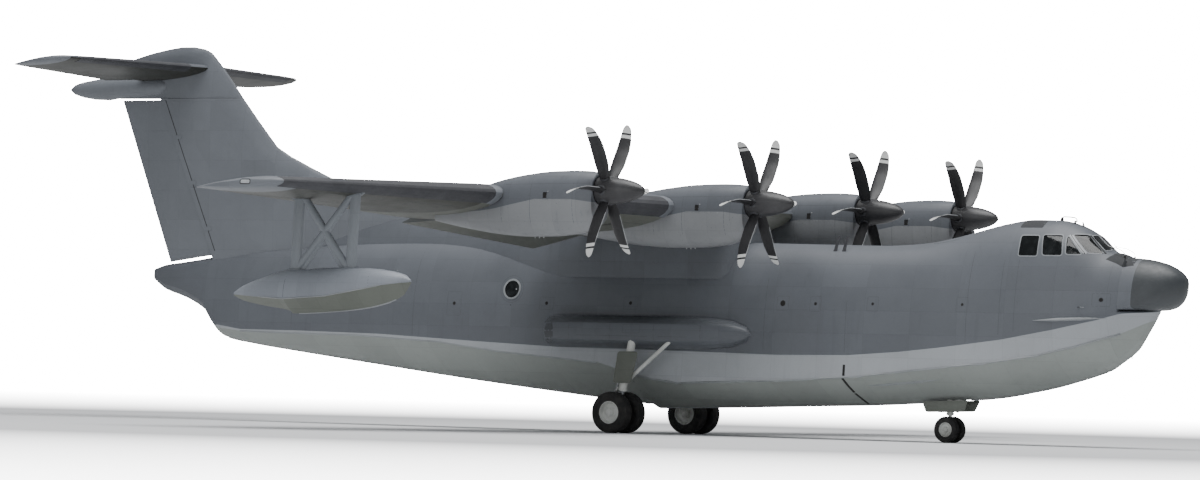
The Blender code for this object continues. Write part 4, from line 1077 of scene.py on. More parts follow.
    def window_tools(self) -> list[Piece]:
        """Prisms through the window openings, starboard and port of each.

        Returns:
            The tools.
        """
        foot, head = Vector(self.screen_foot), Vector(self.screen_head)
        along = (head - foot).normalized()
        across = Vector((along.y, -along.x))
        screen = [foot - across * 0.24, foot + across * 0.14, head + across * 0.14, head - across * 0.24]
        cuts = [(outline, row[6], 1.5) for outline, row in zip(self.window_outlines(), self.windows)]
        cuts.append((screen, *self.screen_span))
        return [slab(outline, *sorted((side * inner, side * outer)))
                for outline, inner, outer in cuts for _, side in SIDES]

    def build_skins(self) -> None:
        """Loft the smooth hull skins, open the flight deck and dress them."""
        forward = web(loft(self.bow, 16, self.section) + loft(self.fore, 34, self.section))
        inner = [x for x in stations(self.fore, 34) if self.cabin[0] < x < self.cabin[1]]
        rows = ease(self.fore, [self.cabin[1], *inner, self.cabin[0]])
        cut(forward, web([self.cabin_section(row) for row in rows]))
        self.skins["closed"] = bpy.data.objects.new("forward_guide", forward.data.copy())
        for tool in self.window_tools():
            cut(forward, tool)
        self.skins["forward"] = place(forward, "hull_forward_skin", Finish.HULL, "hull_forward", angle=28)
        weigh(forward)
        main = web(loft(self.main, 110, self.section))
        self.skins["main"] = place(main, "hull_main_skin", Finish.HULL, "hull_main", angle=26)
        saddle = web(loft(self.saddle, 60, self.saddle_section))
        self.skins["saddle"] = place(saddle, "wing_saddle_skin", Finish.HULL, angle=40)

    def build_radome(self) -> None:
        """Loft the blunt nose cone on the bow's flat sill, its rear rings as a collar in hull enamel."""
        rear, tip, sill, crown, wide, middle, split = self.nose
        rings = []
        for k in range(27):
            share = math.sin(QUARTER * k / 26) * 0.9985
            x = rear + (tip - 15.15) * share - 0.0004
            bulge = (1 - share ** 2.1) ** 0.5
            top = middle + (crown - middle) * bulge
            low = middle - (middle - sill + 0.024) * (1 - share ** 6.5) ** 0.5
            widest = low + 0.03 + (middle - low - 0.03) * share ** 1.3
            ring = []
            for step in range(48):
                a = TAU * step / 48
                high = (top if math.sin(a) > 0 else low) - widest
                rise = high * abs(math.sin(a)) ** 0.94
                ring.append((x, wide * bulge * bent(math.cos(a), 0.94), widest + rise))
            rings.append(ring)
        self.skins["collar"] = place(web(rings[:split + 1]), "radome_collar", Finish.HULL, angle=40)
        self.skins["radome"] = place(web(rings[split:]), "radome_skin", Finish.RADOME, "radome", angle=40)

    def build(self) -> None:
        """Build the whole hull."""
        self.build_skins()
        self.build_radome()


# Wings and tail

@dataclass
class Wings:
    """High wing in five lofted pieces with flaps, ailerons, rubber boots on the leading edges."""

    # y, leading x, leading z, trailing x, trailing z
    rows: tuple[Row, ...] = (
        (0.0, 4.90, 5.55, -0.98, 4.88), (7.3, 3.58, 5.61, -0.90, 5.11),
        (9.4, 3.18, 5.63, -0.80, 5.20), (16.0, 2.11, 5.605, -0.38, 5.44),
    )
    boot_width: float = 0.27
    boot_thick: float = 0.007
    boots: tuple[tuple[str, str, float, float], ...] = (
        ("wing_centre", "centre", 3.36, 7.249), ("wing_bay", "bay", 7.251, 8.03),
        ("wing_bay", "root", 9.31, 9.449), ("wing_outer", "outer", 9.451, 15.569),
        ("wing_tip", "tip", 15.571, 16.24),
    )
    collars: tuple[tuple[str, str, float, float], ...] = (
        ("wing_centre", "inner", 3.20, 3.38), ("wing_bay", "near", 8.01, 8.16), ("wing_bay", "far", 9.12, 9.33),
    )
    collar_width: float = 0.31
    collar_thick: float = 0.0168
    skins: dict[str, Piece] = field(default_factory=dict)

    def edge(self, y: float, column: int) -> Vector:
        """A point of the leading (column 1) or trailing edge (column 3) at a span place."""
        table = np.array(self.rows)
        x, z = (float(np.interp(abs(y), table[:, 0], table[:, k])) for k in (column, column + 1))
        return Vector((x, y, z))

    def lead(self, y: float) -> Vector:
        """The leading edge's point at a span place."""
        return self.edge(y, 1)

    def across(self, y: float, share: float) -> float:
        """The x that lies a share of the chord behind the leading edge."""
        lead, trail = self.edge(y, 1).x, self.edge(y, 3).x
        return lead - share * (lead - trail)

    def skin(self, node: str, word: str) -> Piece:
        """The skin of a side's wing piece."""
        return self.skins[node if node == "wing_centre" else f"{node}_{word}"]

    def build_skins(self) -> None:
        """Stand smooth skins in the place of the wing's nodes."""
        # Outer wings and ailerons take the darker painted-shade underside. Bays and flaps, like the centre
        # wing, take the lighter underside with painted bounce light from the hull.
        kinds = {"wing_bay": Finish.WING_ROOT, "wing_outer": Finish.WING, "wing_tip": Finish.FIN,
                 "flap": Finish.WING_ROOT, "aileron": Finish.WING}
        self.skins["wing_centre"] = skin_of("wing_centre", Finish.WING_ROOT)
        for word, _ in SIDES:
            for kind, finish in kinds.items():
                node = f"{kind}_{word}"
                self.skins[node] = skin_of(node, finish, slot=LIGHT)

    def build_boots(self) -> None:
        """Lay the de-icing boots and the cowls' collars on the leading edges."""
        for node, label, *span in self.boots:
            for word, side in SIDES:
                boot = edge_band(self.skin(node, word), self.lead, side, span, self.boot_width, self.boot_thick)
                place(boot, f"boot_{label}_{word}", Finish.BOOT, angle=40)
        for node, label, *span in self.collars:
            for word, side in SIDES:
                collar = edge_band(self.skin(node, word), self.lead, side, span, self.collar_width,
                                   self.collar_thick, Vector((-1.0, 0.0, 0.0)))
                place(soften(collar, 0.012, 3), f"collar_{label}_{word}", Finish.FIN, slot=LIGHT, angle=40)

    def build(self) -> None:
        """Build the wings."""
        self.build_skins()
        self.build_boots()


@dataclass
class Tail:
    """Fin with its long root, cap with bullet, rudder, tailplane and elevators."""

    lead_root: Flat = (-12.02, 9.22)
    lead_tip_x: float = -12.88
    half: float = 5.35
    boot_span: Flat = (0.72, 4.62)
    boot_width: float = 0.20
    boot_thick: float = 0.006
    skins: dict[str, Piece] = field(default_factory=dict)

    def lead(self, y: float) -> Vector:
        """The tailplane's leading edge at a span place."""
        x, z = self.lead_root
        return Vector((x + (self.lead_tip_x - x) * abs(y) / self.half, y, z))

    def build(self) -> None:
        """Build the tail."""
        for name in ("fin", "fin_cap", "rudder"):
            self.skins[name] = skin_of(name, Finish.FIN)
        for word, side in SIDES:
            kinds = {"tailplane": Finish.TAIL, "tailplane_tip": Finish.FIN, "elevator": Finish.TAIL}
            for kind, finish in kinds.items():
                self.skins[f"{kind}_{word}"] = skin_of(f"{kind}_{word}", finish)
            boot = edge_band(self.skins[f"tailplane_{word}"], self.lead, side, self.boot_span, self.boot_width,
                             self.boot_thick)
            place(boot, f"boot_tailplane_{word}", Finish.BOOT, angle=40)


# Engines

@dataclass
class Engine:
    """Nacelle, spinner and six-bladed propeller of one engine."""

    name: str
    index: int
    side: int
    # distance aft of the face, half width, top and bottom from the hub height
    rows: tuple[Row, ...] = (
        (0.00, 0.40, 0.42, -0.79), (0.22, 0.47, 0.455, -0.91), (0.60, 0.52, 0.47, -1.02),
        (1.20, 0.54, 0.455, -1.08), (1.90, 0.52, 0.38, -1.09), (2.60, 0.46, 0.25, -1.05),
        (3.30, 0.36, 0.04, -0.96), (4.00, 0.22, -0.24, -0.84), (4.50, 0.08, -0.50, -0.74),
    )
    # radius, chord, sweep, thickness, pitch in degrees
    blade_rows: tuple[Row, ...] = (
        (0.20, 0.20, 0.00, 0.130, 84), (0.42, 0.29, 0.01, 0.085, 83), (0.75, 0.345, 0.03, 0.050, 81),
        (1.10, 0.335, 0.03, 0.036, 79), (1.42, 0.285, -0.01, 0.026, 77), (1.64, 0.215, -0.07, 0.018, 76),
        (1.74, 0.13, -0.12, 0.012, 75),
    )
    # aerofoil: shares of the chord and of the thickness
    aerofoil: tuple[Flat, ...] = (
        (-0.5, 0.0), (-0.44, 0.26), (-0.32, 0.50), (-0.12, 0.60), (0.12, 0.54), (0.34, 0.30), (0.5, 0.02),
        (0.34, -0.14), (0.12, -0.30), (-0.12, -0.38), (-0.32, -0.34), (-0.44, -0.20),
    )
    blade_count: int = 6
    blade_turn: float = 30.0
    blade_set: float = 0.12
    face_back: float = 0.335
    oval: float = 1.22              # how much taller than wide the chin intake is
    spinner_length: float = 1.28
    spinner_radius: float = 0.325
    # radius and place along the axis
    lip: tuple[Flat, ...] = (
        (0.124, -0.05), (0.126, 0.006), (0.134, 0.016), (0.144, 0.012), (0.152, -0.012), (0.150, -0.05),
    )
    duct: tuple[Flat, ...] = (
        (0.1245, -0.02), (0.1265, -0.02), (0.1265, -0.40), (0.002, -0.41), (0.002, -0.40), (0.119, -0.39),
    )
    rim: tuple[Flat, ...] = (
        (0.343, -0.012), (0.396, -0.012), (0.399, 0.0), (0.390, 0.010), (0.343, 0.010),
    )
    gap: tuple[Flat, ...] = ((0.15, -0.012), (0.343, -0.012), (0.343, 0.002), (0.15, 0.002))
    cuff: tuple[Flat, ...] = ((0.075, 0.0), (0.118, 0.0), (0.112, 0.022), (0.094, 0.034), (0.075, 0.034))

    @property
    def hub(self) -> Vector:
        """The propeller's centre."""
        return Vector((HUB_X[self.index], self.side * ENGINE_Y[self.index], HUB_Z[self.index]))

    @property
    def face(self) -> Vector:
        """The middle of the nacelle's front face."""
        return self.hub - Vector((self.face_back, 0.0, 0.0))

    @property
    def body(self) -> str:
        """The propeller's body."""
        return f"propeller_{self.name}"

    @property
    def finish(self) -> Finish:
        """The nacelle's enamel."""
        return Finish.NACELLE_OUTER if self.index else Finish.NACELLE_INNER

    def at(self, x: float, y: float, z: float) -> Vector:
        """A point measured from the front face."""
        return self.face + Vector((x, y, z))

    def ring(self, row: Row) -> list[Point]:
        """One nacelle section."""
        aft, wide, top, low = row
        middle, high = 0.5 * (top + low), 0.5 * (top - low)
        stretch = 1.019 if self.index else 1.139
        turns = [TAU * step / 40 for step in range(40)]
        return [self.at(-aft * stretch, wide * bent(math.cos(a), 0.85), middle + high * bent(math.sin(a), 0.85))
                for a in turns]

    def widen(self, piece: Piece, height: float) -> Piece:
        """Stretch a round piece into an upright oval about a height below the hub."""
        middle = self.hub.z + height
        for vertex in piece.data.vertices:
            vertex.co.z = middle + (vertex.co.z - middle) * self.oval
        return piece

    def build_nacelle(self) -> None:
        """Loft the nacelle, open its engine bay and chin intake, and line them."""
        places = list(reversed(stations(self.rows, 34)))
        piece = web([self.ring(row) for row in ease(self.rows, places)])
        cut(piece, rod([self.at(-1.5, 0, -0.16), self.at(-0.1, 0, -0.16)], 0.34, 32))
        cut(piece, self.widen(rod([self.at(-0.5, 0, -0.52), self.at(0.1, 0, -0.655)], 0.128, 36), -0.61))
        place(piece, f"nacelle_{self.name}_skin", self.finish, f"nacelle_{self.name}", angle=34)
        weigh(piece)
        skin_of(f"engine_{self.name}", Finish.ALLOY, slot="engine_grey", name=f"engine_{self.name}_block")
        mouth, way = self.at(0, 0, -0.633), (0.6, 0.0, -0.135)
        lip = self.widen(lathe(self.lip, mouth, way, 40), -0.633)
        place(lip, f"intake_lip_{self.name}", self.finish, slot=LIGHT, angle=60)
        # The duct's near-black lining is painted shade inside the chin intake.
        duct = self.widen(lathe(self.duct, mouth, way, 36), -0.633)
        place(duct, f"intake_duct_{self.name}", Finish.DARK_INSIDE, angle=50)
        vanes = []
        for z in (-0.65, -0.59, -0.53):
            vanes.append(rod([self.at(-0.30, -0.11, z), self.at(-0.30, 0.11, z)], 0.006, 8))
        place(join(vanes), f"intake_vanes_{self.name}", Finish.STEEL, angle=60)
        self.build_fittings(piece)

    def build_fittings(self, skin: Piece) -> None:
        """Lay the cowl's vents, hatches, drains, exhaust and joints.

        Args:
            skin: the nacelle.
        """
        x, y, z = self.face
        fit = Fitter(Skin(skin), (x, y, z))
        for word, _ in SIDES:
            vent = box_outline(x - 1.20, z - 0.13, 0.055, 0.070, 0.015)
            fit.frame(vent, word, self.finish, 0.030, 0.005)
            # A near-black plate inside each vent's frame: painted shade of the vent's opening.
            fit.plate(vent, word, Finish.DARK_INSIDE, 0.0008)
            fit.stud((x - 1.12, z - 0.045), word, 0.012, 0.012, Finish.PALE_METAL, 10)
            for aft in (0.46, 1.62, 2.45):
                fit.strip([(x - aft, z + 0.18), (x - aft, z - 0.78)], word, Finish.SEAM, 0.006, 0.0008, 0.06)
            fit.strip([(x - 0.05, z + 0.16), (x - 2.4, z + 0.12)], word, Finish.SEAM, 0.006, 0.0008)
            for k in range(6):
                latch = box_outline(x - 0.62 - k * 0.17, z - 0.245, 0.022, 0.010, 0.004)
                fit.plate(latch, word, Finish.ALLOY, 0.002)
        for aft, wide in ((0.75, 0.09), (1.35, 0.14)):
            fit.frame(box_outline(x - aft, y, wide, 0.12, 0.04), "top", Finish.SEAM, 0.006, 0.0008)
            fit.frame(box_outline(x - aft, y, wide, 0.10, 0.03), "under", Finish.SEAM, 0.006, 0.0008)
        for k in range(3):
            drain = (x - 1.5 - 0.16 * k, y + 0.06 * (k - 1))
            fit.stud(drain, "under", 0.011, 0.035, Finish.PALE_METAL, 10)
        fit.done(f"nacelle_detail_{self.name}")
        place(lathe(self.rim, self.face, (1, 0, 0), 48), f"nacelle_rim_{self.name}", self.finish, angle=40)
        # A near-black ring behind the spinner: painted shade of the gap between spinner and cowl.
        gap = lathe(self.gap, self.face, (1, 0, 0), 48)
        place(gap, f"nacelle_gap_{self.name}", Finish.DARK_INSIDE, angle=40)
        path = [self.at(-2.2, 0.30, 0.02), self.at(-2.55, 0.42, 0.02), self.at(-2.80, 0.50, 0.01)]
        outlet = cut(rod(path, [0.10, 0.115, 0.12], 24),
                     rod([self.at(-2.6, 0.44, 0.02), self.at(-2.95, 0.56, 0.0)], 0.104, 24))
        place(outlet, f"exhaust_{self.name}", Finish.HOT_METAL, angle=40)

    def build_spinner(self) -> None:
        """Turn the spinner."""
        profile = []
        for k in range(27):
            share = 0.985 * math.sin(QUARTER * k / 26)
            radius = self.spinner_radius * (1 - max(share - 0.10, 0.0) ** 2 / 0.81) ** 0.54
            profile.append((radius, -0.32 + (self.spinner_length - 0.08) * share))
        shell = lathe(profile, self.hub, (1, 0, 0), 40, closed=False)
        shaft = rod([self.hub + Vector((x, 0, 0)) for x in (-0.334, -0.30)], 0.11, 24)
        place(join([shell, shaft]), f"spinner_{self.name}", Finish.SPINNER, self.body, body=self.body, angle=50)

    def turned(self, piece: Piece, turn: float) -> Piece:
        """Move a piece that points up from the shaft to its place about the hub."""
        base = self.hub - Vector((self.blade_set, 0.0, 0.0))
        piece.data.transform(Matrix.Translation(base) @ Matrix.Rotation(turn, 4, "X"))
        return piece

    def blade(self) -> Piece:
        """Loft one upright blade with an aerofoil section.

        Returns:
            The blade.
        """
        rings = []
        last = self.blade_rows[-1][0]
        places = list(reversed(stations(self.blade_rows, 26)))
        for radius, chord, sweep, thick, pitch in ease(self.blade_rows, places):
            sine, cosine = math.sin(math.radians(pitch)), math.cos(math.radians(pitch))
            near = max(0.0, (radius - (last - 0.07)) / 0.07)
            chord *= math.sqrt(max(1 - near * near * 0.75, 0.05))
            rings.append([(u * chord * sine + t * thick * cosine, sweep + u * chord * cosine - t * thick * sine,
                           radius) for u, t in self.aerofoil])
        return web(rings)

    def edge(self) -> Piece:
        """The nickel strip along an upright blade's leading edge.

        Returns:
            The strip.
        """
        path = []
        for radius, chord, sweep, _, pitch in ease(self.blade_rows, [0.62 + 0.82 * k / 14 for k in range(15)]):
            a = math.radians(pitch)
            path.append((0.497 * chord * math.sin(a), sweep + 0.497 * chord * math.cos(a), radius))
        return rod(path, [0.004] + [0.0075] * 13 + [0.005], 8)

    def build_blades(self) -> None:
        """Loft the blades about the hub, with their edge strips and root cuffs."""
        turns = [math.radians(self.blade_turn + 60 * k) for k in range(self.blade_count)]
        blades = [self.turned(self.blade(), turn) for turn in turns]
        edges = [self.turned(self.edge(), turn) for turn in turns]
        black = {"body": self.body, "slot": "prop_black"}
        place(join(edges), f"blade_edges_{self.name}", Finish.PALE_METAL, angle=60, **black)
        cuffs = []
        for turn in turns:
            out = Vector((0.0, -math.sin(turn), math.cos(turn)))
            foot = self.hub - Vector((self.blade_set, 0.0, 0.0)) + out * (self.spinner_radius - 0.020)
            cuffs.append(lathe(self.cuff, foot, out, 26))
        place(join(cuffs), f"blade_cuffs_{self.name}", Finish.BOOT, angle=50, **black)
        piece = place(join(blades), f"blades_{self.name}", Finish.SPINNER, angle=40, **black)
        piece.data.materials[0] = BladePaint(f"blade_epoxy_{self.name}", tuple(self.hub)).make()

    def build(self) -> None:
        """Build the engine."""
        self.build_nacelle()
        self.build_spinner()
        self.build_blades()


# Floats and landing gear

@dataclass
class Float:
    """Stepped wing float on two struts with crossed braces."""

    word: str
    side: int
    # x, half width, keel z, chine z, top z
    rows: tuple[Row, ...] = (
        (3.68, 0.03, 3.36, 3.42, 3.47), (3.52, 0.18, 3.13, 3.40, 3.58), (3.08, 0.33, 2.93, 3.33, 3.67),
        (2.40, 0.40, 2.79, 3.20, 3.72), (1.60, 0.43, 2.71, 3.06, 3.72), (0.42, 0.41, 2.65, 2.98, 3.66),
        (0.40, 0.41, 2.70, 2.98, 3.66), (-0.38, 0.30, 2.82, 3.02, 3.48), (-1.02, 0.12, 2.94, 3.06, 3.26),
        (-1.26, 0.02, 3.04, 3.07, 3.12),
    )

    def section(self, row: Row) -> list[Point]:
        """One float section."""
        x, wide, keel, chine, top = row
        half = [(0.0, keel), (0.5 * wide, keel + 0.46 * (chine - keel)), *arch(wide, chine, top, 0.9, 12)]
        return [(px, py + self.side * FLOAT_Y, pz) for px, py, pz in whole(x, half)]

    def build(self) -> Piece:
        """Build the float and its struts.

        Returns:
            The float's skin.
        """
        piece = web(loft(self.rows, 40, self.section))
        place(piece, f"float_{self.word}_skin", Finish.FLOAT, f"float_{self.word}", angle=28)
        skin_of(f"float_struts_{self.word}", Finish.STRUT, 40)
        return piece


@dataclass(frozen=True)
class Wheel:
    """A tyre on its dished hub: outer radius, width, rim radius, gap to the leg, axle."""

    radius: float
    width: float
    rim: float
    gap: float
    axle: float
    axle_sides: int

    def tyre(self, centre: Point) -> Piece:
        """Turn one tyre with round shoulders and circumferential grooves.

        Args:
            centre: the wheel's centre.

        Returns:
            The tyre.
        """
        half = self.width / 2
        floor = self.radius - 0.035 * self.radius
        tread = []
        for share in (-0.52, -0.26, 0.0, 0.26, 0.52):
            tread += [(self.radius, (share - 0.05) * half), (floor, (share - 0.035) * half),
                      (floor, (share + 0.035) * half), (self.radius, (share + 0.05) * half)]
        shoulder = [(self.radius * r, w * half) for r, w in (
            (0.985, 0.72), (0.95, 0.86), (0.88, 0.97), (0.78, 0.99), (0.68, 0.92))]
        shoulder += [(self.rim * r, w * half) for r, w in ((1.06, 0.80), (0.985, 0.78), (0.97, 0.60))]
        return lathe([(r, -w) for r, w in reversed(shoulder)] + tread + shoulder, centre, (0, 1, 0), 56)

    def hub(self, centre: Point, out: int) -> Piece:
        """Turn one dished wheel hub with a ring of bolts.

        Args:
            centre: the wheel's centre.
            out: 1 where the outer face looks to port, otherwise -1.

        Returns:
            The hub.
        """
        half = self.width / 2
        outer = [(0.99, -0.66), (0.99, 0.66), (1.03, 0.80), (0.95, 0.84), (0.90, 0.62), (0.78, 0.40),
                 (0.52, 0.34), (0.40, 0.42), (0.36, 0.72), (0.30, 0.80)]
        inner = [(0.36, -0.60), (0.80, -0.50), (0.93, -0.80), (1.03, -0.80)]
        profile = [(self.rim * r, w * half * out) for r, w in outer]
        profile += [(0.012, 0.82 * half * out), (0.012, -0.62 * half * out)]
        profile += [(self.rim * r, w * half * out) for r, w in inner]
        pieces = [lathe(profile, centre, (0, 1, 0), 40)]
        for k in range(10):
            a = TAU * k / 10
            arm = Vector((math.cos(a) * self.rim * 0.66, out * half * 0.30, math.sin(a) * self.rim * 0.66))
            foot = Vector(centre) + arm
            head = foot + Vector((0.0, out * (half * 0.10 + 0.012), 0.0))
            pieces.append(pin(foot, head, self.rim * 0.045, 6))
        return join(pieces)

    def pair(self, label: str, x: float, y: float, node: str) -> None:
        """Build two wheels on one axle.

        Args:
            label: how the pieces' names start and end, with a gap for tyres or hubs.
            x: the axle's place.
            y: middle between the wheels.
            node: the body, which is also the node that the pieces stand for.
        """
        tyres, hubs = [], []
        for side in (-1, 1):
            centre = (x, y + side * (self.width / 2 + self.gap), self.radius)
            tyres.append(self.tyre(centre))
            hubs.append(self.hub(centre, side))
        reach = self.width + self.gap - 0.02
        hubs.append(rod([(x, y - reach, self.radius), (x, y + reach, self.radius)], self.axle, self.axle_sides))
        place(join(tyres), label.format("tyres"), Finish.RUBBER, node, body=node, angle=40)
        place(join(hubs), label.format("hubs"), Finish.GEAR_WHITE, body=node, angle=40)


@dataclass
class LandingGear:
    """Twin main wheels a side under the fairings, and steered twin nose wheels."""

    axle: Flat = (2.00, 10.33)
    track: float = 3.56
    main: Wheel = Wheel(0.508, 0.356, 0.27, 0.135, 0.055, 24)
    nose: Wheel = Wheel(0.3175, 0.171, 0.17, 0.08, 0.035, 20)
    fairings: dict[str, Piece] = field(default_factory=dict)

    def build(self) -> None:
        """Build the landing gear."""
        for word, side in SIDES:
            self.main.pair(f"main_{{}}_{word}", self.axle[0], side * self.track / 2, f"main_wheels_{word}")
        self.nose.pair("nose_{}", self.axle[1], 0.0, "nose_wheels")
        for word, _ in SIDES:
            self.fairings[word] = skin_of(f"gear_fairing_{word}", Finish.HULL, 34)
            skin_of(f"main_leg_{word}", Finish.GEAR_WHITE)
        skin_of("nose_leg", Finish.GEAR_WHITE)
        skin_of("nose_fork", Finish.GEAR_WHITE)


# Fitting details to skins

# Axis that the rays run along, how far out they start, their direction
FACES = {
    "right": (1, -3.0, (0.0, 1.0, 0.0)),
    "left": (1, 3.0, (0.0, -1.0, 0.0)),
    "top": (2, 4.0, (0.0, 0.0, -1.0)),
    "under": (2, -4.0, (0.0, 0.0, 1.0)),
}


def rounded(outline: Sequence[Flat], radius: float, steps: int = 4) -> list[Flat]:
    """Round the corners of a flat outline.

    Args:
        outline: its corners.
        radius: how far the rounding reaches along each side.
        steps: points added at a corner.

    Returns:
        The rounded outline.
    """
    made = []
    ring = [Vector(corner) for corner in outline]
    for k, corner in enumerate(ring):
        before, after = ring[k - 1] - corner, ring[(k + 1) % len(ring)] - corner
        start = corner + before.normalized() * min(radius, 0.45 * before.length)
        end = corner + after.normalized() * min(radius, 0.45 * after.length)
        shares = [step / steps for step in range(steps + 1)]
        made += [tuple(start * (1 - t) ** 2 + corner * 2 * t * (1 - t) + end * t * t) for t in shares]
    return made


def oval(a: float, b: float, half_a: float, half_b: float, steps: int = 28) -> list[Flat]:
    """Points of a flat oval about (a, b)."""
    turns = [TAU * k / steps for k in range(steps)]
    return [(a + half_a * math.cos(turn), b + half_b * math.sin(turn)) for turn in turns]


def box_outline(a: float, b: float, half_a: float, half_b: float, radius: float = 0.02) -> list[Flat]:
    """A rounded rectangle about (a, b)."""
    low, high = b - half_b, b + half_b
    return rounded([(a - half_a, low), (a + half_a, low), (a + half_a, high), (a - half_a, high)], radius, 3)


def centre_of(outline: Sequence[Flat]) -> Flat:
    """The mean of an outline's points."""
    return tuple(sum(values) / len(outline) for values in zip(*outline))


def grown(outline: Sequence[Flat], reach: float) -> list[Flat]:
    """Move a closed flat outline outwards, square to itself.

    Args:
        outline: the outline.
        reach: how far it moves.

    Returns:
        The moved outline, with as many points.
    """
    middle = Vector(centre_of(outline))
    made = []
    for k, point in enumerate(outline):
        here = Vector(point)
        run = Vector(outline[(k + 1) % len(outline)]) - Vector(outline[k - 1])
        square = Vector((run.y, -run.x)).normalized()
        made.append(tuple(here + square * (reach if square.dot(here - middle) >= 0 else -reach)))
    return made


def resample(path: Sequence[Row], pitch: float) -> list[Row]:
    """Add points along a path so that none lie further apart than the pitch.

    Args:
        path: the path.
        pitch: greatest distance.

    Returns:
        The finer path.
    """
    made = [tuple(path[0])]
    for a, b in zip(path, path[1:]):
        start, run = Vector(a), Vector(b) - Vector(a)
        parts = max(1, math.ceil(run.length / pitch))
        made += [tuple(start + run * k / parts) for k in range(1, parts + 1)]
    return made


def fine(outline: Sequence[Flat], pitch: float = 0.09) -> list[Flat]:
    """Add points to a closed outline so that it can follow a curved skin."""
    return resample([*outline, outline[0]], pitch)[:-1]


@dataclass
class Fitter:
    """Lays plates, rings, strips, ridges and studs on a skin, and joins them by finish."""

    skin: Skin
    middle: Point = (0.0, 0.0, 3.5)
    made: dict[tuple[Finish, str], list[Piece]] = field(default_factory=dict)

    def start(self, spot: Row, face: str) -> Point:
        """Where the ray to a flat spot on a face begins."""
        axis, off, _ = FACES[face]
        return (*spot[:axis], self.middle[axis] + off, *spot[axis:])

    def spot(self, spot: Row, face: str) -> tuple[Vector, Vector]:
        """The surface point under a flat spot and its outward direction."""
        return self.skin.hit(self.start(spot, face), FACES[face][2])

    def keep(self, piece: Piece, finish: Finish, slot: str = "") -> None:
        """File a piece under its finish and slot."""
        self.made.setdefault((finish, slot or finish.value.slot), []).append(piece)

    def plate(self, outline: Sequence[Flat], face: str, finish: Finish, thick: float = 0.003,
              hole: Sequence[Flat] | None = None) -> None:
        """Lay a plate, or a ring where a hole is given.

        Args:
            outline: its flat outline.
            face: the side it lies on.
            finish: its finish.
            thick: how far it stands proud.
            hole: outline of the hole, with as many points.
        """
        loops = [outline, hole]
        if hole is None:
            outline = fine(outline)
            a, b = centre_of(outline)
            steps = max(3, math.ceil(max(math.hypot(x - a, y - b) for x, y in outline) / 0.07))
            loops = [[(a + (x - a) * k / steps, b + (y - b) * k / steps) for x, y in outline]
                     for k in range(steps, -1, -1)]
        rows = [[self.start(point, face) for point in loop] for loop in loops]
        self.keep(self.skin.drape(rows, FACES[face][2], thick, 0.003, True), finish)

    def frame(self, outline: Sequence[Flat], face: str, finish: Finish, width: float,
              thick: float = 0.003) -> None:
        """Lay a narrow band along the outside of an outline."""
        outline = fine(outline)
        self.plate(grown(outline, width), face, finish, thick, outline)

    def strip(self, path: Sequence[Row], face: str, finish: Finish, width: float, thick: float = 0.002,
              pitch: float = 0.09, slot: str = "") -> None:
        """Lay a strip along a flat path."""
        points = [self.start(point, face) for point in resample(path, pitch)]
        self.keep(self.skin.strip(points, FACES[face][2], width, thick), finish, slot)

    def ridge(self, path: Sequence[Row], face: str, half: float, out: float, taper: float = 0.15,
              pitch: float = 0.2, droop: float = 0.0) -> None:
        """Lay a proud rail in hull trim with tapered ends.

        Args:
            path: its flat path.
            face: the side it lies on.
            half: half its width on the skin.
            out: how far it stands proud.
            taper: share of its length over which each end fades.
            pitch: greatest distance between its sections.
            droop: how far its crest hangs below its middle.
        """
        spots = [self.spot(point, face) for point in resample(path, pitch)]
        last = len(spots) - 1
        rings = []
        for k, (point, normal) in enumerate(spots):
            share = k / last
            fade = min(1.0, (share + 0.02) / taper, (1.02 - share) / taper)
            along = (spots[min(k + 1, last)][0] - spots[max(k - 1, 0)][0]).normalized()
            up = normal.cross(along).normalized()
            up = (up if up.z >= 0 else -up) * fade
            crest = point + normal * out * fade - up * droop
            inner = up * half * 0.3
            rings.append([point + up * half, crest + inner, crest - inner, point - up * half,
                          point - normal * 0.02])
        self.keep(web(rings), Finish.HULL_TRIM)

    def stud(self, spot: Row, face: str, radius: float, high: float, finish: Finish, sides: int = 12) -> None:
        """Set a short round stud on the skin."""
        point, normal = self.spot(spot, face)
        self.keep(pin(point - normal * 0.004, point + normal * high, radius, sides), finish)

    def foot(self, spot: Row, deep: float, high: float, radius: float) -> None:
        """Set an upright rubber foot through the top of the skin."""
        point, _ = self.spot(spot, "top")
        self.keep(pin(point - Vector((0, 0, deep)), point + Vector((0, 0, high)), radius), Finish.RUBBER, BLACK)

    def done(self, label: str) -> None:
        """Join what was laid, one piece for each finish, and hang it on the airframe."""
        for (finish, slot), pieces in self.made.items():
            place(join(pieces), f"{label}_{finish.name.lower()}", finish, slot=slot, angle=36)
        self.made.clear()


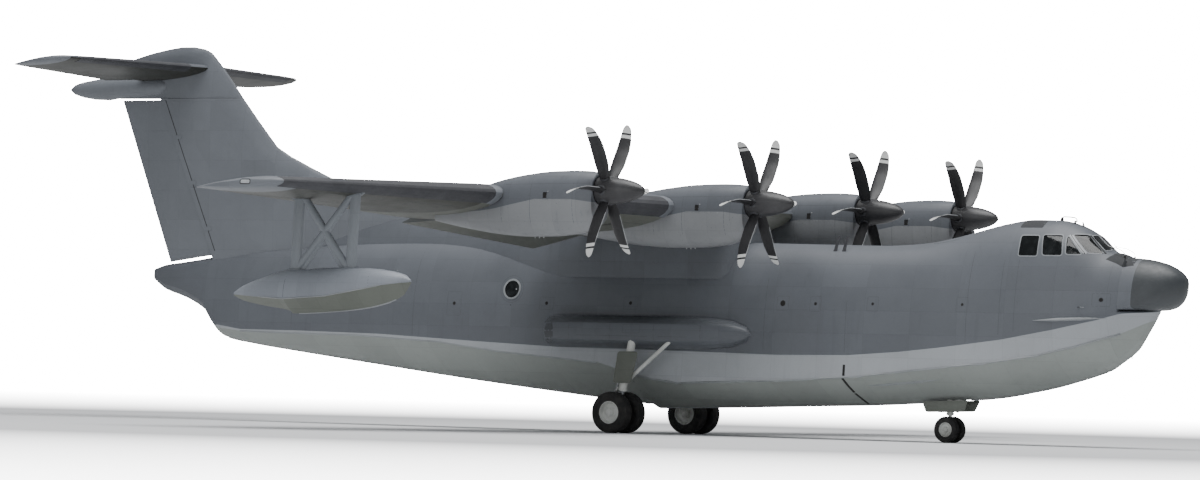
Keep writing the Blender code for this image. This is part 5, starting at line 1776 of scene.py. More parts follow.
@dataclass
class HullDetails:
    """Window frames, ports, strakes, chine rails, aerials, wipers and hatches of the hull."""

    hull: Hull
    # x, z, half width and half height of its panel, radius of its dark port
    ports: tuple[Row, ...] = (
        (-3.33, 3.14, 0.21, 0.30, 0.040), (-0.54, 3.18, 0.20, 0.15, 0.040), (1.93, 3.22, 0.20, 0.15, 0.040),
        (6.29, 3.28, 0.16, 0.17, 0.068), (7.21, 3.28, 0.15, 0.18, 0.035), (8.80, 3.30, 0.15, 0.17, 0.032),
        (11.25, 3.32, 0.16, 0.17, 0.032), (14.81, 3.49, 0.20, 0.15, 0.045),
    )
    porthole: Flat = (-1.61, 3.52)
    # x, top z and low z of the upright joints
    seams: tuple[Row, ...] = (
        (12.26, 4.40, 2.62), (12.66, 4.40, 2.70), (8.08, 3.38, 2.12), (11.38, 4.60, 2.42), (5.80, 3.90, 2.10),
        (-4.60, 4.60, 2.32), (-8.60, 4.45, 2.42),
    )
    # chine rails: x from and to, half width, how proud, droop
    rails: tuple[Row, ...] = ((2.0, 15.2, 0.024, 0.030, 0.008), (-11.0, 1.95, 0.020, 0.022, 0.006))
    # keel strips: x from and to, half width, how proud, taper
    keels: tuple[Row, ...] = (
        (14.9, 10.9, 0.028, 0.020, 0.04), (9.8, 2.1, 0.028, 0.020, 0.02), (1.8, -11.2, 0.025, 0.016, 0.02),
    )

    def build_windows(self, fit: Fitter) -> None:
        """Frame the side windows and the screens, and lay the double bar and the front post.

        Args:
            fit: the hull's fitter.
        """
        for word, side in SIDES:
            for outline in self.hull.window_outlines():
                fit.frame(grown(outline, -0.003), word, Finish.FRAME_GREY, 0.024, 0.004)
                fit.frame(grown(outline, -0.010), word, Finish.SEAL, 0.010, 0.002)
            for shift, width, thick, finish in ((-0.026, 0.022, 0.011, Finish.BRIGHT_BAR),
                                                (0.026, 0.024, 0.011, Finish.BRIGHT_BAR),
                                                (0.0, 0.028, 0.006, Finish.SEAL)):
                path = [(14.262 + shift, 4.585), (13.800 + shift, 5.020)]
                fit.strip(path, word, finish, width, thick, 0.08, LIGHT)
            way = Vector((-0.55, -0.45 * side, -0.60)).normalized()
            low, high = Vector((14.665, side * 0.42, 4.62)), Vector((14.19, side * 0.325, 5.035))
            path = [low + (high - low) * k / 6 - way * 0.5 for k in range(7)]
            fit.keep(fit.skin.strip(path, way, 0.045, 0.010), Finish.SEAL, BLACK)
        foot, head = Vector((14.62, 0.0, 4.70)), Vector((14.22, 0.0, 5.02))
        across = (head - foot).normalized()
        square = Vector((across.z, 0.0, -across.x))
        inner, outer = self.hull.screen_span
        flat = rounded([(inner, 0.0), (outer, 0.0), (outer, 0.512), (inner, 0.512)], 0.05)
        for _, side in SIDES:
            rows = []
            for reach in (0.020, -0.004):
                ring = grown(flat, reach)
                rows.append([foot + across * t + Vector((0, side * y, 0)) + square * 0.4 for y, t in ring])
            fit.keep(fit.skin.drape(rows, -square, 0.008, 0.004, True), Finish.BRIGHT_BAR, LIGHT)

    def build_sides(self, fit: Fitter) -> None:
        """Lay ports, portholes, seams, strakes and rails on both sides and below.

        Args:
            fit: the hull's fitter.
        """
        px, pz = self.porthole
        for word, _ in SIDES:
            for x, z, wide, high, radius in self.ports:
                fit.frame(box_outline(x, z, wide, high, 0.03), word, Finish.SEAM, 0.006, 0.0008)
                # Each port's near-black disc is painted shade of its opening.
                fit.plate(oval(x, z, radius, radius, 18), word, Finish.DARK_INSIDE, 0.0015)
                fit.frame(oval(x, z, radius, radius, 18), word, Finish.SEAM, 0.010, 0.002)
            fit.frame(oval(px, pz, 0.212, 0.212, 36), word, Finish.HULL_TRIM, 0.046, 0.012)
            fit.frame(oval(px, pz, 0.335, 0.335, 36), word, Finish.SEAM, 0.007, 0.001)
            # Dark glass on the solid skin: painted shade of the cabin behind the porthole.
            fit.plate(oval(px, pz, 0.214, 0.214, 36), word, Finish.PORT_GLASS, 0.004)
            fit.stud((px + 0.13, pz), word, 0.020, 0.012, Finish.BRIGHT_BAR)
            # A near-black stud below the porthole: painted shade of a small hole.
            fit.stud((px, pz - 0.40), word, 0.012, 0.003, Finish.DARK_INSIDE)
            for x, top, low in self.seams:
                fit.strip([(x, top), (x, low)], word, Finish.SEAM, 0.008, 0.0015)
            fit.ridge([(13.16, 2.97), (14.92, 3.06)], word, 0.040, 0.060, 0.35, droop=0.010)
            for start, end, half, out, droop in self.rails:
                chine = [(x, z - 0.004) for x, z in CHINE_LINE if start < x < end]
                fit.ridge(chine, word, half, out, 0.02, droop=droop)
            # A near-black strip at the side: painted shade of a slot.
            fit.strip([(8.09, 1.82), (8.09, 1.55)], word, Finish.DARK_INSIDE, 0.065, 0.001, 0.05)
        for _, side in SIDES:
            fit.ridge([(8.52, side * 0.98), (10.54, side * 0.94)], "under", 0.03, 0.045, 0.25)
            # A near-black strip across the bottom: painted shade of a slot.
            fit.strip([(8.04, side * 1.28), (8.10, side * 0.06)], "under", Finish.DARK_INSIDE, 0.070, 0.001)
            fit.strip([(1.95, side * 0.04), (1.98, side * 1.30)], "under", Finish.SEAM, 0.02, 0.002)
        for start, end, *shape in self.keels:
            fit.ridge([(start, 0.0), (end, 0.0)], "under", *shape)
        # Near-black ovals under the hull: painted shade of drain holes.
        for x in (-10.6, -7.4, -2.8, 4.6):
            fit.plate(oval(x, 0.32, 0.05, 0.03, 14), "under", Finish.DARK_INSIDE, 0.001)

    def build_top(self, fit: Fitter) -> None:
        """Lay the roof hatch, the anti-glare patch and the upper hatches.

        Args:
            fit: the hull's fitter.
        """
        roof = rounded([(12.40, -0.53), (13.01, -0.53), (13.01, 0.53), (12.40, 0.53)], 0.05)
        fit.plate(roof, "top", Finish.ANTI_GLARE, 0.003)
        patch = [(14.72, -0.56), (15.40, -0.44), (15.40, 0.44), (14.72, 0.56), (14.80, 0.34), (14.84, 0.0),
                 (14.80, -0.34)]
        fit.plate(fine(patch, 0.12), "top", Finish.ANTI_GLARE, 0.002)
        for x, long, wide in ((10.35, 0.36, 0.42), (-2.6, 0.30, 0.34)):
            fit.frame(box_outline(x, 0.0, long, wide, 0.08), "top", Finish.SEAM, 0.010, 0.002)
        fit.stud((10.62, 0.0), "top", 0.024, 0.016, Finish.ALLOY)

    def aerial(self, fit: Fitter, foot: Row, high: float, chord: float, rake: float) -> Piece:
        """A swept blade aerial standing on top of the skin.

        Args:
            fit: the hull's fitter.
            foot: x and y of its foot.
            high: its height.
            chord: its chord at the foot.
            rake: how far its tip lies aft.

        Returns:
            The aerial.
        """
        rings = []
        point, _ = fit.spot(foot, "top")
        long, wide = Vector((chord / 2, 0.0, 0.0)), Vector((0.0, chord * 0.09, 0.0))
        for share, size in ((-0.08, 1.15), (0.0, 1.1), (0.08, 0.92), (0.5, 0.75), (0.94, 0.52), (1.0, 0.40)):
            middle = point + Vector((-rake * max(share, 0.0), 0.0, high * share))
            rings.append(circle(middle, long, wide, size, 16))
        return web(rings)

    def build_fittings(self, fit: Fitter) -> None:
        """Stand the hoop, wipers, aerials, tow eye and pitot heads on the hull.

        Args:
            fit: the hull's fitter.
        """
        hoop = [(13.24, 5.385), (13.26, 5.45), (13.32, 5.475), (13.50, 5.470), (13.62, 5.455), (13.67, 5.42),
                (13.68, 5.345)]
        fit.keep(rod([(x, -0.06, z) for x, z in hoop], 0.017, 14), Finish.WHITE_MARK)
        for x in (13.29, 13.63):
            fit.foot((x, -0.06), 0.01, 0.07, 0.028)
        fit.keep(self.aerial(fit, (13.84, -0.02), 0.11, 0.07, 0.03), Finish.PANEL_BLACK)
        for foot, *shape in (((7.38, -0.62), 0.36, 0.11, -0.10), ((7.62, -0.62), 0.36, 0.11, -0.10),
                             ((-3.1, 0.30), 0.24, 0.18, 0.12)):
            fit.keep(self.aerial(fit, foot, *shape), Finish.BOOT)
        arm = ((15.08, 0.26, 4.60), (15.00, 0.26, 4.67), (14.86, 0.245, 4.735), (14.70, 0.225, 4.76),
               (14.60, 0.21, 4.79))
        blade = ((14.665, 0.12, 4.725), (14.60, 0.20, 4.775), (14.50, 0.27, 4.845))
        for word, side in SIDES:
            arm_path, blade_path = ([(x, side * y, z) for x, y, z in path] for path in (arm, blade))
            fit.keep(rod(arm_path, [0.011, 0.011, 0.009, 0.008, 0.007], 10), Finish.WHITE_MARK)
            fit.keep(rod(blade_path, 0.009, 8), Finish.RUBBER, BLACK)
            fit.foot((15.08, side * 0.26), 0.02, 0.06, 0.022)
            point, normal = fit.spot((14.30, 3.30), word)
            tube = [point + normal * out + Vector((ahead, 0, 0))
                    for out, ahead in ((-0.01, 0), (0.05, 0), (0.08, 0.05), (0.08, 0.17))]
            fit.keep(rod(tube, [0.016, 0.013, 0.011, 0.007], 12), Finish.STEEL)
        fit.keep(eye((15.20, 0.0, 2.155), 0.022, 0.010, 10, 20), Finish.STEEL)

    def build(self) -> None:
        """Build the hull's details."""
        skins = self.hull.skins
        fit = Fitter(Skin(*(skins[name] for name in ("closed", "main", "saddle", "collar", "radome"))))
        self.build_windows(fit)
        self.build_sides(fit)
        self.build_top(fit)
        self.build_fittings(fit)
        fit.done("hull_detail")


@dataclass
class WingDetails:
    """Access plates, lamps, wicks and seals of the wings and the tail."""

    wings: Wings
    tail: Tail
    plates: tuple[tuple[str, Row], ...] = (
        ("wing_centre", (1.9, 4.1, 5.2, 6.3)), ("wing_outer", (10.2, 11.3, 12.4, 14.6)),
    )
    wicks: tuple[tuple[str, Row], ...] = (
        ("aileron", (10.4, 11.6, 12.8, 14.0, 15.2)), ("elevator", (1.6, 2.9, 4.3)),
    )

    def build_panels(self) -> None:
        """Lay access plates below the wing, caps on top and joints on both."""
        for name, spans in self.plates:
            for word, side in SIDES:
                fit = Fitter(Skin(self.wings.skin(name, word)), (0.0, 0.0, 5.4))
                for y in spans:
                    for share in (0.22, 0.44):
                        outline = oval(self.wings.across(y, share), side * y, 0.20, 0.11, 22)
                        fit.plate(outline, "under", Finish.WING, 0.002)
                        fit.frame(outline, "under", Finish.SEAM, 0.007, 0.001)
                    cap = oval(self.wings.across(y, 0.34), side * y, 0.07, 0.07, 18)
                    fit.plate(cap, "top", Finish.ALLOY, 0.002)
                for share in (0.16, 0.62):
                    ends = (min(spans) - 0.3, max(spans) + 0.6)
                    path = [(self.wings.across(y, share), side * y) for y in ends]
                    for face in ("top", "under"):
                        fit.strip(path, face, Finish.SEAM, 0.010, 0.0008, 0.6)
                fit.done(f"{name}_{word}_detail")

    def wick(self, foot: Vector, ahead: float, aft: float, drop: float) -> Piece:
        """A static wick that runs aft from a point."""
        return rod([foot + Vector((ahead, 0, 0)), foot - Vector((aft, 0, drop))], [0.005, 0.002], 8)

    def build_tips(self) -> None:
        """Set the navigation lamps in the wing tips and on the fin's bullet."""
        for word, side in SIDES:
            fit = Fitter(Skin(self.wings.skin("wing_tip", word)), (0.0, side * 16.3, 5.58))
            glass = box_outline(1.17, 5.572, 0.115, 0.040, 0.025)
            fit.plate(glass, word, Finish.CLEAR_LENS)
            fit.frame(glass, word, Finish.SEAL, 0.022, 0.004)
            fit.done(f"tip_lamp_{word}")
            for k, share in enumerate((0.60, 0.80, 0.97)):
                foot = Vector((2.05 - share * 2.35, side * 16.50, 5.50 - share * 0.06))
                place(self.wick(foot, 0.0, 0.16, 0.005), f"tip_wick_{word}_{k}", Finish.PANEL_BLACK)
        profile = [(0.0395, -0.03), (0.038, 0.0), (0.028, 0.02), (0.010, 0.028)]
        lamp = lathe(profile, (-16.568, 0.0, 8.67), (-1, 0, 0), 20, closed=False)
        place(lamp, "tail_lamp", Finish.CLEAR_LENS, angle=60)

    def build_wicks(self) -> None:
        """Fit static wicks to the moving surfaces."""
        for word, side in SIDES:
            for kind, spans in self.wicks:
                node = f"{kind}_{word}"
                skin = self.wings.skins.get(node) or self.tail.skins[node]
                wicks = [self.wick(self.trailing(skin, side * y), 0.01, 0.15, 0.012) for y in spans]
                place(join(wicks), f"wicks_{node}", Finish.PANEL_BLACK, body=node)

    def trailing(self, skin: Piece, y: float) -> Vector:
        """The trailing edge's point of a surface at a span place.

        Args:
            skin: the surface.
            y: the span place.

        Returns:
            The point.
        """
        ends = {}
        for vertex in skin.data.vertices:
            key = round(vertex.co.y, 2)
            if key not in ends or vertex.co.x < ends[key].x:
                ends[key] = vertex.co
        rows = sorted((co.y, co.x, co.z) for co in ends.values())
        inner, outer = rows[0], rows[-1]
        share = (y - inner[0]) / (outer[0] - inner[0])
        return Vector((inner[1] + (outer[1] - inner[1]) * share, y, inner[2] + (outer[2] - inner[2]) * share))

    def build_fin(self) -> None:
        """Lay the fin's seals and hinge plates."""
        fit = Fitter(Skin(self.tail.skins["fin"], self.tail.skins["fin_cap"]), (0.0, 0.0, 7.0))
        for word, _ in SIDES:
            fit.strip([(-11.63, 4.42), (-13.36, 8.37)], word, Finish.SEAL, 0.022)
            fit.strip([(-10.94, 8.418), (-13.30, 8.418)], word, Finish.SEAM, 0.012, 0.001)
            for z in (5.0, 6.2, 7.4):
                x = -11.63 - (z - 4.45) * 0.4376
                fit.plate(box_outline(x, z, 0.11, 0.05, 0.03), word, Finish.FIN, 0.012)
        fit.done("fin_detail")

    def build(self) -> None:
        """Build the details of wings and tail."""
        self.build_panels()
        self.build_tips()
        self.build_wicks()
        self.build_fin()


@dataclass
class FloatDetails:
    """Cuffs, rails and plates of one wing float."""

    word: str
    side: int
    skin: Piece
    wing: Piece

    def build(self) -> None:
        """Build the float's details."""
        y0 = self.side * FLOAT_Y
        fit = Fitter(Skin(self.skin), (1.0, y0, 3.3))
        for top, foot in ((2.05, 0.37), (0.59, 2.07)):
            sleeve = rod([(top, y0, 5.45), (foot, y0, 3.52)], 0.089, 24)
            for vertex in sleeve.data.vertices:
                vertex.co.y = y0 + (vertex.co.y - y0) * 0.72
            fit.keep(sleeve, Finish.STRUT)
        for x in (2.005, 0.465):
            fit.plate(oval(x, y0, 0.23, 0.115, 26), "top", Finish.STRUT, 0.014)
            fit.plate(oval(x, y0, 0.19, 0.095, 26), "top", Finish.STRUT, 0.030)
        for word, _ in SIDES:
            chine = [(x, z + 0.004) for x, z in FLOAT_CHINE_LINE[1:-1]]
            fit.ridge(chine, word, 0.014, 0.016, 0.05, 0.15)
            fit.strip([(0.41, 3.50), (0.41, 3.02)], word, Finish.SEAM, 0.008, 0.001)
            fit.strip([(2.72, 3.60), (2.76, 3.30)], word, Finish.SEAM, 0.008, 0.001)
            fit.plate(oval(1.2, 3.36, 0.09, 0.06, 18), word, Finish.FLOAT)
        for x in (2.9, 1.2, -0.3):
            fit.plate(oval(x, y0, 0.10, 0.08, 22), "top", Finish.FLOAT, 0.004)
            fit.stud((x, y0 + 0.05), "top", 0.010, 0.008, Finish.ALLOY, 8)
        fit.ridge([(3.3, y0), (0.6, y0)], "under", 0.014, 0.012, 0.03)
        fit.keep(eye((3.30, y0, 3.655), 0.026, 0.007, 8, 18), Finish.STEEL)
        fit.done(f"float_detail_{self.word}")
        fit = Fitter(Skin(self.wing), (0.0, 0.0, 5.4))
        for x in (2.095, 0.535):
            fit.plate(oval(x, y0, 0.24, 0.12, 26), "under", Finish.STRUT, 0.014)
            fit.plate(oval(x, y0, 0.19, 0.10, 26), "under", Finish.STRUT, 0.035)
        fit.done(f"strut_head_{self.word}")


@dataclass
class GearDetails:
    """Torque links, brakes, pipes, doors and lamps of the landing gear."""

    gear: LandingGear
    # radius and place along the axis
    collar: tuple[Flat, ...] = ((-0.016, -0.022), (0.0, -0.016), (0.0, 0.016), (-0.016, 0.022))
    brake: tuple[Flat, ...] = (
        (0.075, -0.045), (0.205, -0.045), (0.215, -0.035), (0.215, 0.030), (0.205, 0.040), (0.075, 0.040),
    )
    lamp: tuple[Flat, ...] = (
        (0.012, -0.045), (0.045, -0.035), (0.066, 0.0), (0.070, 0.025), (0.062, 0.027), (0.058, 0.004),
        (0.012, 0.0),
    )
    # x and z from the leg, and y
    pipe: tuple[Row, ...] = (
        (0.085, 0.11, 1.50), (0.02, 0.14, 1.15), (-0.08, 0.16, 0.85), (-0.10, 0.15, 0.66), (-0.13, 0.145, 0.58),
    )

    def link(self, start: Point, end: Point, wide: float, narrow: float, thick: float) -> Piece:
        """A flat tapered link whose ends are as wide as given, along y.

        Args:
            start: middle of its wide end.
            end: middle of its narrow end.
            wide: half width at the start.
            narrow: half width at the end.
            thick: its thickness.

        Returns:
            The link.
        """
        a, b = Vector(start), Vector(end)
        square = (b - a).cross(Vector((0, 1, 0))).normalized() * thick / 2
        rows = []
        for point, half in ((a, wide), (b, narrow)):
            across = Vector((0, half, 0))
            rows.append([point + across + square, point - across + square, point - across - square,
                         point + across - square])
        return soften(web(rows), thick * 0.2)

    def build_main(self, word: str, side: int) -> None:
        """Build the details of one main leg.

        Args:
            word: left or right.
            side: 1 for port, -1 for starboard.
        """
        x0, y0, z0 = self.gear.axle[0], side * self.gear.track / 2, self.gear.main.radius
        pipes = []
        knee = Vector((x0 - 0.20, y0, 0.86))
        whites = [self.link((x0, y0, 1.14), knee, 0.060, 0.028, 0.030),
                  self.link((x0 - 0.05, y0, 0.60), knee, 0.055, 0.028, 0.028)]
        steels = [pin(knee - Vector((0, 0.05, 0)), knee + Vector((0, 0.05, 0)), 0.020),
                  rod([(x0 + 0.093, y0, 1.04), (x0 + 0.012, y0, 0.585)], 0.0655, 28)]
        for z, r in ((1.075, 0.112), (1.30, 0.108), (1.55, 0.108)):
            profile = [(r + out, way) for out, way in self.collar] + [(0.09, 0.022), (0.09, -0.022)]
            whites.append(lathe(profile, (x0 + 0.10 + (z - 1.05) * 0.2, y0, z), (0.2, 0, 1.0), 30))
        for out in (-1, 1):
            y = y0 + out * 0.19
            steels.append(lathe(self.brake, (x0, y, z0), (0, 1, 0), 36))
            for k in range(5):
                a = TAU * (k + 0.3) / 5
                foot = Vector((x0 + 0.15 * math.cos(a), y - out * 0.045, z0 + 0.15 * math.sin(a)))
                whites.append(pin(foot, foot - Vector((0, out * 0.035, 0)), 0.030, 14))
            pipes.append(rod([(x0 + x, y0 + out * across, z) for x, across, z in self.pipe], 0.011, 10))
        outline = rounded([(x0 - 0.10, 1.24), (x0 + 0.42, 1.24), (x0 + 0.60, 2.02), (x0 + 0.02, 2.02)], 0.08)
        door = soften(slab(outline, y0 + side * 0.135 - 0.009, y0 + side * 0.135 + 0.009), 0.004)
        place(door, f"leg_door_{word}", Finish.FLOAT, slot=DARK)
        for z in (1.42, 1.82):
            x = x0 + 0.17 + (z - 1.42) * 0.2
            whites.append(pin((x, y0 + side * 0.06, z), (x, y0 + side * 0.13, z), 0.022, 14))
        place(join(whites), f"leg_parts_{word}", Finish.GEAR_WHITE, angle=36)
        place(join(steels), f"leg_steel_{word}", Finish.STEEL, angle=36)
        place(join(pipes), f"brake_pipes_{word}", Finish.STEEL, angle=60)

    def build_nose(self) -> None:
        """Build the details of the nose leg and its bay doors."""
        x0 = self.gear.axle[1]
        up, ahead = (0, 0, 1), (1, 0, 0)
        fork = [self.link((x0 - 0.02, 0.0, 0.40), (x0 - 0.14, 0.0, 0.505), 0.036, 0.018, 0.020),
                lathe([(0.046, -0.02), (0.060, -0.016), (0.060, 0.016), (0.046, 0.02)], (x0, 0, 0.42), up, 26)]
        place(join(fork), "nose_fork_parts", Finish.GEAR_WHITE, body="nose_steering", angle=36)
        collar = [(0.080, -0.02), (0.098, -0.014), (0.098, 0.014), (0.080, 0.02)]
        legs = [lathe(collar, (x0, 0, z), up, 28) for z in (0.70, 0.82)]
        legs.append(pin((x0 + 0.07, 0.0, 0.80), (x0 + 0.15, 0.0, 0.80), 0.018, 12))
        lamp = (x0 + 0.185, 0, 0.80)
        legs.append(lathe(self.lamp, lamp, ahead, 28))
        place(join(legs), "nose_leg_parts", Finish.GEAR_WHITE, angle=36)
        glass = [(0.061, 0.018), (0.045, 0.028), (0.020, 0.034), (0.004, 0.035)]
        lens = lathe(glass, lamp, ahead, 28, closed=False)
        place(lens, "taxi_lamp_lens", Finish.CLEAR_LENS, angle=60)
        doors = []
        for side in (-1, 1):
            outline = rounded([(9.72, 0.99), (9.80, 0.72), (10.86, 0.76), (10.98, 1.04)], 0.07)
            door = slab(outline, -0.010, 0.010)
            lean = Matrix.Rotation(side * math.radians(-9), 4, "X") @ Matrix.Translation((0, 0, -1.0))
            door.data.transform(Matrix.Translation((0, side * 0.31, 1.0)) @ lean)
            doors.append(soften(door, 0.004))
        place(join(doors), "nose_doors", Finish.FLOAT, slot=DARK, angle=36)

    def build_fairings(self) -> None:
        """Lay joints and door lines on the fairings, with painted shade round their bay doors and at their
        blunt rear ends.
        """
        for word, side in SIDES:
            fit = Fitter(Skin(self.gear.fairings[word]), (0.0, side * 1.6, 2.5))
            for x in (4.30, 3.02, 1.75, 0.55):
                fit.strip([(x, 2.84), (x, 2.16)], word, Finish.SEAM, 0.008, 0.001, 0.08)
            fit.strip([(4.30, 2.40), (0.55, 2.40)], word, Finish.SEAM, 0.008, 0.001, 0.4)
            fit.frame(box_outline(2.38, 2.58, 0.24, 0.10, 0.03), word, Finish.SEAM, 0.007, 0.001)
            # A dark oval, in seam sealant's colour, at the fairing's blunt rear end: painted shade.
            fit.plate(oval(-0.05, 2.47, 0.13, 0.27, 24), word, Finish.SEAM, 0.002)
            # A near-black frame around each bay door: painted shade of its gap.
            bay = box_outline(2.25, side * 1.80, 0.34, 0.16, 0.06)
            fit.frame(bay, "under", Finish.DARK_INSIDE, 0.03, 0.002)
            fit.done(f"fairing_detail_{word}")

    def build(self) -> None:
        """Build the gear's details."""
        for word, side in SIDES:
            self.build_main(word, side)
        self.build_nose()
        self.build_fairings()


# Flight deck

@dataclass
class FlightDeck:
    """Two padded seats behind the instrument panel, and the panes."""

    floor: float = 3.75
    seat_y: float = 0.46
    # x from and to, half width, z from and to above the floor, edge radius or crown
    seat: tuple[Row, ...] = (
        (13.10, 13.66, 0.20, 0.001, 0.05, 0.008), (13.22, 13.60, 0.16, 0.045, 0.24, 0.02),
        (13.16, 13.655, 0.215, 0.22, 0.27, 0.02), (13.085, 13.13, 0.205, 0.24, 0.93, 0.02),
    )
    pads: tuple[tuple[str, Row], ...] = (
        ("seat_pad", (13.20, 13.65, 0.205, 0.262, 0.36, 0.02)),
        ("back_pad", (13.125, 13.218, 0.195, 0.34, 0.86, 0.02)),
        ("head_pad", (13.125, 13.205, 0.11, 0.875, 0.975, 0.015)),
    )

    def corners(self, y: float, row: Row) -> tuple[Point, Point]:
        """The low and high corners of a seat's block."""
        start, end, half, low, high, _ = row
        return (start, y - half, self.floor + low), (end, y + half, self.floor + high)

    def cushion(self, low: Point, high: Point, crown: float) -> Piece:
        """A crowned pad: a box subdivided and swelled, its sides pulled in between the corners.

        Args:
            low: lowest corner.
            high: highest corner.
            crown: how far its faces swell.

        Returns:
            The pad.
        """
        piece = block(low, high)
        edit((bpy.ops.mesh.subdivide, {"number_cuts": 7}))
        middle = (Vector(low) + Vector(high)) / 2
        half = (Vector(high) - Vector(low)) / 2
        for vertex in piece.data.vertices:
            u = [(vertex.co[k] - middle[k]) / half[k] for k in range(3)]
            edge = [1 - abs(v) ** 3 for v in u]
            for k in range(3):
                swell = crown * edge[k - 1] * edge[k - 2] - crown
                vertex.co[k] += bent(u[k], 4) * swell
        return apply(piece, "SUBSURF", levels=1, render_levels=1)

    def build_seats(self) -> None:
        """Build seat pans, shells and their cushions."""
        frames, pads = [], []
        for word, side in SIDES:
            y = side * self.seat_y
            frames += [block(*self.corners(y, row), row[-1]) for row in self.seat]
            for name, row in self.pads:
                pads.append((self.cushion(*self.corners(y, row), row[-1]), f"{name}_{word}"))
        place(join(frames), "seat_frames", Finish.PANEL_BLACK, "flight_deck_seats")
        for pad, name in pads:
            place(pad, name, Finish.SEAT, angle=60)

    def build_panel(self) -> None:
        """Build the instrument screens, glare shield, columns, levers and overhead panel."""
        glass, keys, metal = [], [], []
        floor = self.floor
        shield = rounded([(13.86, 4.395), (14.35, 4.405), (14.35, 4.425), (13.86, 4.420)], 0.01)
        dark = [slab(shield, -0.71, 0.71), block((13.42, -0.13, floor + 0.001), (14.02, 0.13, 4.06), 0.02),
                block((13.15, -0.20, 5.22), (13.62, 0.20, 5.27), 0.012)]
        for y in (-0.60, -0.34, -0.09, 0.16, 0.42):
            outline = [(13.992, 4.05), (13.962, 4.27), (13.954, 4.269), (13.984, 4.049)]
            glass.append(slab(outline, y, y + 0.19))
            for k in range(6):
                left = y + 0.012 + k * 0.03
                keys.append(block((13.978, left, 4.021), (13.990, left + 0.018, 4.039), 0.002, 1))
        for k in range(4):
            y = -0.075 + 0.05 * k
            metal.append(rod([(13.72, y, 4.05), (13.76, y, 4.17)], 0.007, 10))
            keys.append(block((13.74, y - 0.016, 4.16), (13.78, y + 0.016, 4.20), 0.008))
        for _, side in SIDES:
            y = side * self.seat_y
            metal.append(rod([(13.88, y, floor + 0.001), (13.84, y, 4.05), (13.80, y, 4.14)], 0.022, 14))
            turns = [math.radians(-200 + 220 * k / 16) for k in range(17)]
            horns = [(13.775, y + 0.16 * math.cos(a), 4.14 + 0.10 * math.sin(a)) for a in turns]
            dark.append(rod(horns, 0.013, 10))
            metal.append(rod([(13.80, y, 4.14), (13.765, y, 4.14)], 0.035, 16))
            dark.append(rod([(13.775, y - 0.15, 4.11), (13.775, y, 4.13), (13.775, y + 0.15, 4.11)], 0.012, 10))
            for left in (y - 0.13, y + 0.03):
                keys.append(block((13.98, left, floor + 0.06), (14.01, left + 0.10, floor + 0.20), 0.01))
        for k in range(24):
            x, y = 13.20 + 0.055 * (k // 3), -0.12 + 0.10 * (k % 3)
            metal.append(pin((x, y, 5.222), (x, y, 5.195), 0.008, 8))
        place(join(dark), "deck_dark_parts", Finish.PANEL_BLACK)
        place(join(glass), "deck_screens", Finish.SCREEN)
        place(join(keys), "deck_keys", Finish.KEY_GREY)
        place(join(metal), "deck_metal_parts", Finish.ALLOY)

    def build(self) -> None:
        """Build the flight deck."""
        self.build_seats()
        self.build_panel()
        skin_of("instrument_panel", Finish.PANEL_BLACK)
        skin_of("flight_deck_glass", Finish.GLASS)


# Studio

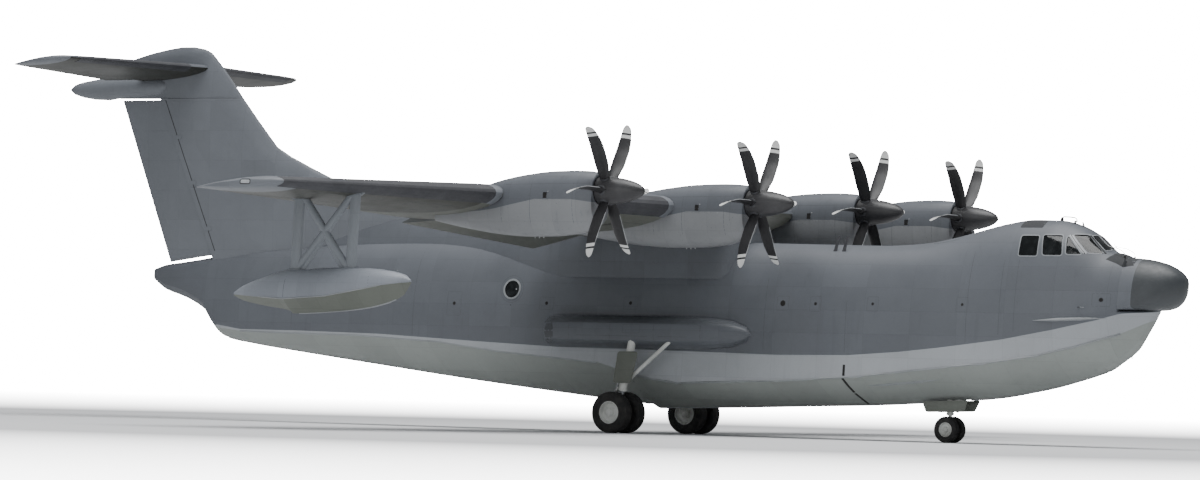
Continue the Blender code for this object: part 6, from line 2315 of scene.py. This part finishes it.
@dataclass
class Studio:
    """Pale floor, soft lights and the photograph's camera."""

    eye: Point = (76.402, -120.370, 1.327)
    yaw: float = 32.335
    pitch: float = 1.400
    roll: float = 1.475
    focal_px: float = 5677.55
    frame_px: float = 1200.0
    sensor: float = 36.0
    far: float = 1200.0
    floor_radius: float = 420.0
    sky_strength: float = 0.32
    backdrop_strength: float = 25.0
    floor_glow: float = 20.0
    floor_bounce: float = 0.4

    def build_floor(self) -> None:
        """Lay the floor."""
        settle()
        bpy.ops.mesh.primitive_circle_add(vertices=96, radius=self.floor_radius, fill_type="NGON")
        floor = bpy.context.object
        floor.name = "studio_floor"
        g = Graph("pale_floor")
        wide = g.add(NOISE, {"Vector": g.place, "Scale": 0.05, "Detail": 3.0})
        tone = g.mix(g.add(RANGE, [wide, *GREY_SPREAD, 0.0, 1.0]), "#dfe0e1", "#d8d9db")
        away = g.add(VECTOR, [g.place], 1, operation="LENGTH")
        seen = g.add("ShaderNodeLightPath")
        glow = g.add(MATH, [seen, self.floor_glow, self.floor_bounce], operation="MULTIPLY_ADD")
        glow = g.add(MATH, [glow, g.add(RANGE, [away, 30.0, 170.0, 0.0, 1.0])], operation="MULTIPLY")
        emission = {"Emission_Color": linear("#ffffff"), "Emission_Strength": glow}
        floor.data.materials.append(g.finish(tone, 0.9, **emission))

    def lamp(self, name: str, spot: Point, aim: Point, size: float, power: float) -> None:
        """Hang one soft lamp.

        Args:
            name: the lamp's name.
            spot: where it hangs.
            aim: where it looks.
            size: its side.
            power: its watts.
        """
        data = bpy.data.lights.new(name, "AREA")
        data.shape = "SQUARE"
        data.size = size
        data.energy = power
        lamp = bpy.data.objects.new(name, data)
        bpy.context.scene.collection.objects.link(lamp)
        lamp.location = spot
        lamp.rotation_euler = (Vector(aim) - Vector(spot)).to_track_quat("-Z", "Y").to_euler()

    def build_lights(self) -> None:
        """Light the sky and hang the lamps."""
        world = bpy.data.worlds.new("studio_sky")
        bpy.context.scene.world = world
        world.use_nodes = True
        nodes, links = world.node_tree.nodes, world.node_tree.links
        sky, backdrop = nodes["Background"], nodes.new("ShaderNodeBackground")
        for shader, colour, strength in ((sky, "#eef1f5", self.sky_strength),
                                         (backdrop, "#ffffff", self.backdrop_strength)):
            shader.inputs["Color"].default_value = linear(colour)
            shader.inputs["Strength"].default_value = strength
        seen = nodes.new("ShaderNodeLightPath")
        blend = nodes.new("ShaderNodeMixShader")
        sources = (seen.outputs["Is Camera Ray"], sky.outputs[0], backdrop.outputs[0])
        for socket, source in zip(blend.inputs, sources):
            links.new(source, socket)
        links.new(blend.outputs[0], nodes["World Output"].inputs[0])
        self.lamp("key_lamp", (8.0, -6.0, 66.0), (0.0, 0.0, 4.0), 56.0, 66000.0)
        self.lamp("fill_lamp", (2.0, -56.0, 11.0), (0.0, 0.0, 3.0), 30.0, 4600.0)

    def build_camera(self) -> None:
        """Set the camera at the photograph's place."""
        yaw, pitch, roll = (math.radians(v) for v in (self.yaw, self.pitch, self.roll))
        ahead = Vector((-math.sin(yaw) * math.cos(pitch), math.cos(yaw) * math.cos(pitch), math.sin(pitch)))
        right = ahead.cross(Vector((0, 0, 1))).normalized()
        up = right.cross(ahead)
        turned_right = right * math.cos(roll) + up * math.sin(roll)
        turned_up = up * math.cos(roll) - right * math.sin(roll)
        data = bpy.data.cameras.new("photo_camera")
        data.sensor_width = self.sensor
        data.lens = self.focal_px * self.sensor / self.frame_px
        data.clip_end = self.far
        camera = bpy.data.objects.new("photo_camera", data)
        bpy.context.scene.collection.objects.link(camera)
        matrix = Matrix((turned_right, turned_up, -ahead)).transposed().to_4x4()
        matrix.translation = Vector(self.eye)
        camera.matrix_world = matrix
        bpy.context.scene.camera = camera

    def build(self) -> None:
        """Build the studio."""
        self.build_floor()
        self.build_lights()
        self.build_camera()


def main() -> None:
    """Build the sub-assemblies in order."""
    logging.basicConfig(level=logging.INFO, format="%(message)s")
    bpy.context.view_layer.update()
    Studio().build()
    hull = Hull()
    hull.build()
    wings = Wings()
    wings.build()
    tail = Tail()
    tail.build()
    for name, index, side in ENGINES:
        Engine(name, index, side).build()
    HullDetails(hull).build()
    WingDetails(wings, tail).build()
    for word, side in SIDES:
        skin = Float(word, side).build()
        FloatDetails(word, side, skin, wings.skin("wing_outer", word)).build()
    gear = LandingGear()
    gear.build()
    GearDetails(gear).build()
    FlightDeck().build()
    settle()
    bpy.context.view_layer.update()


if __name__ == "__main__":
    main()
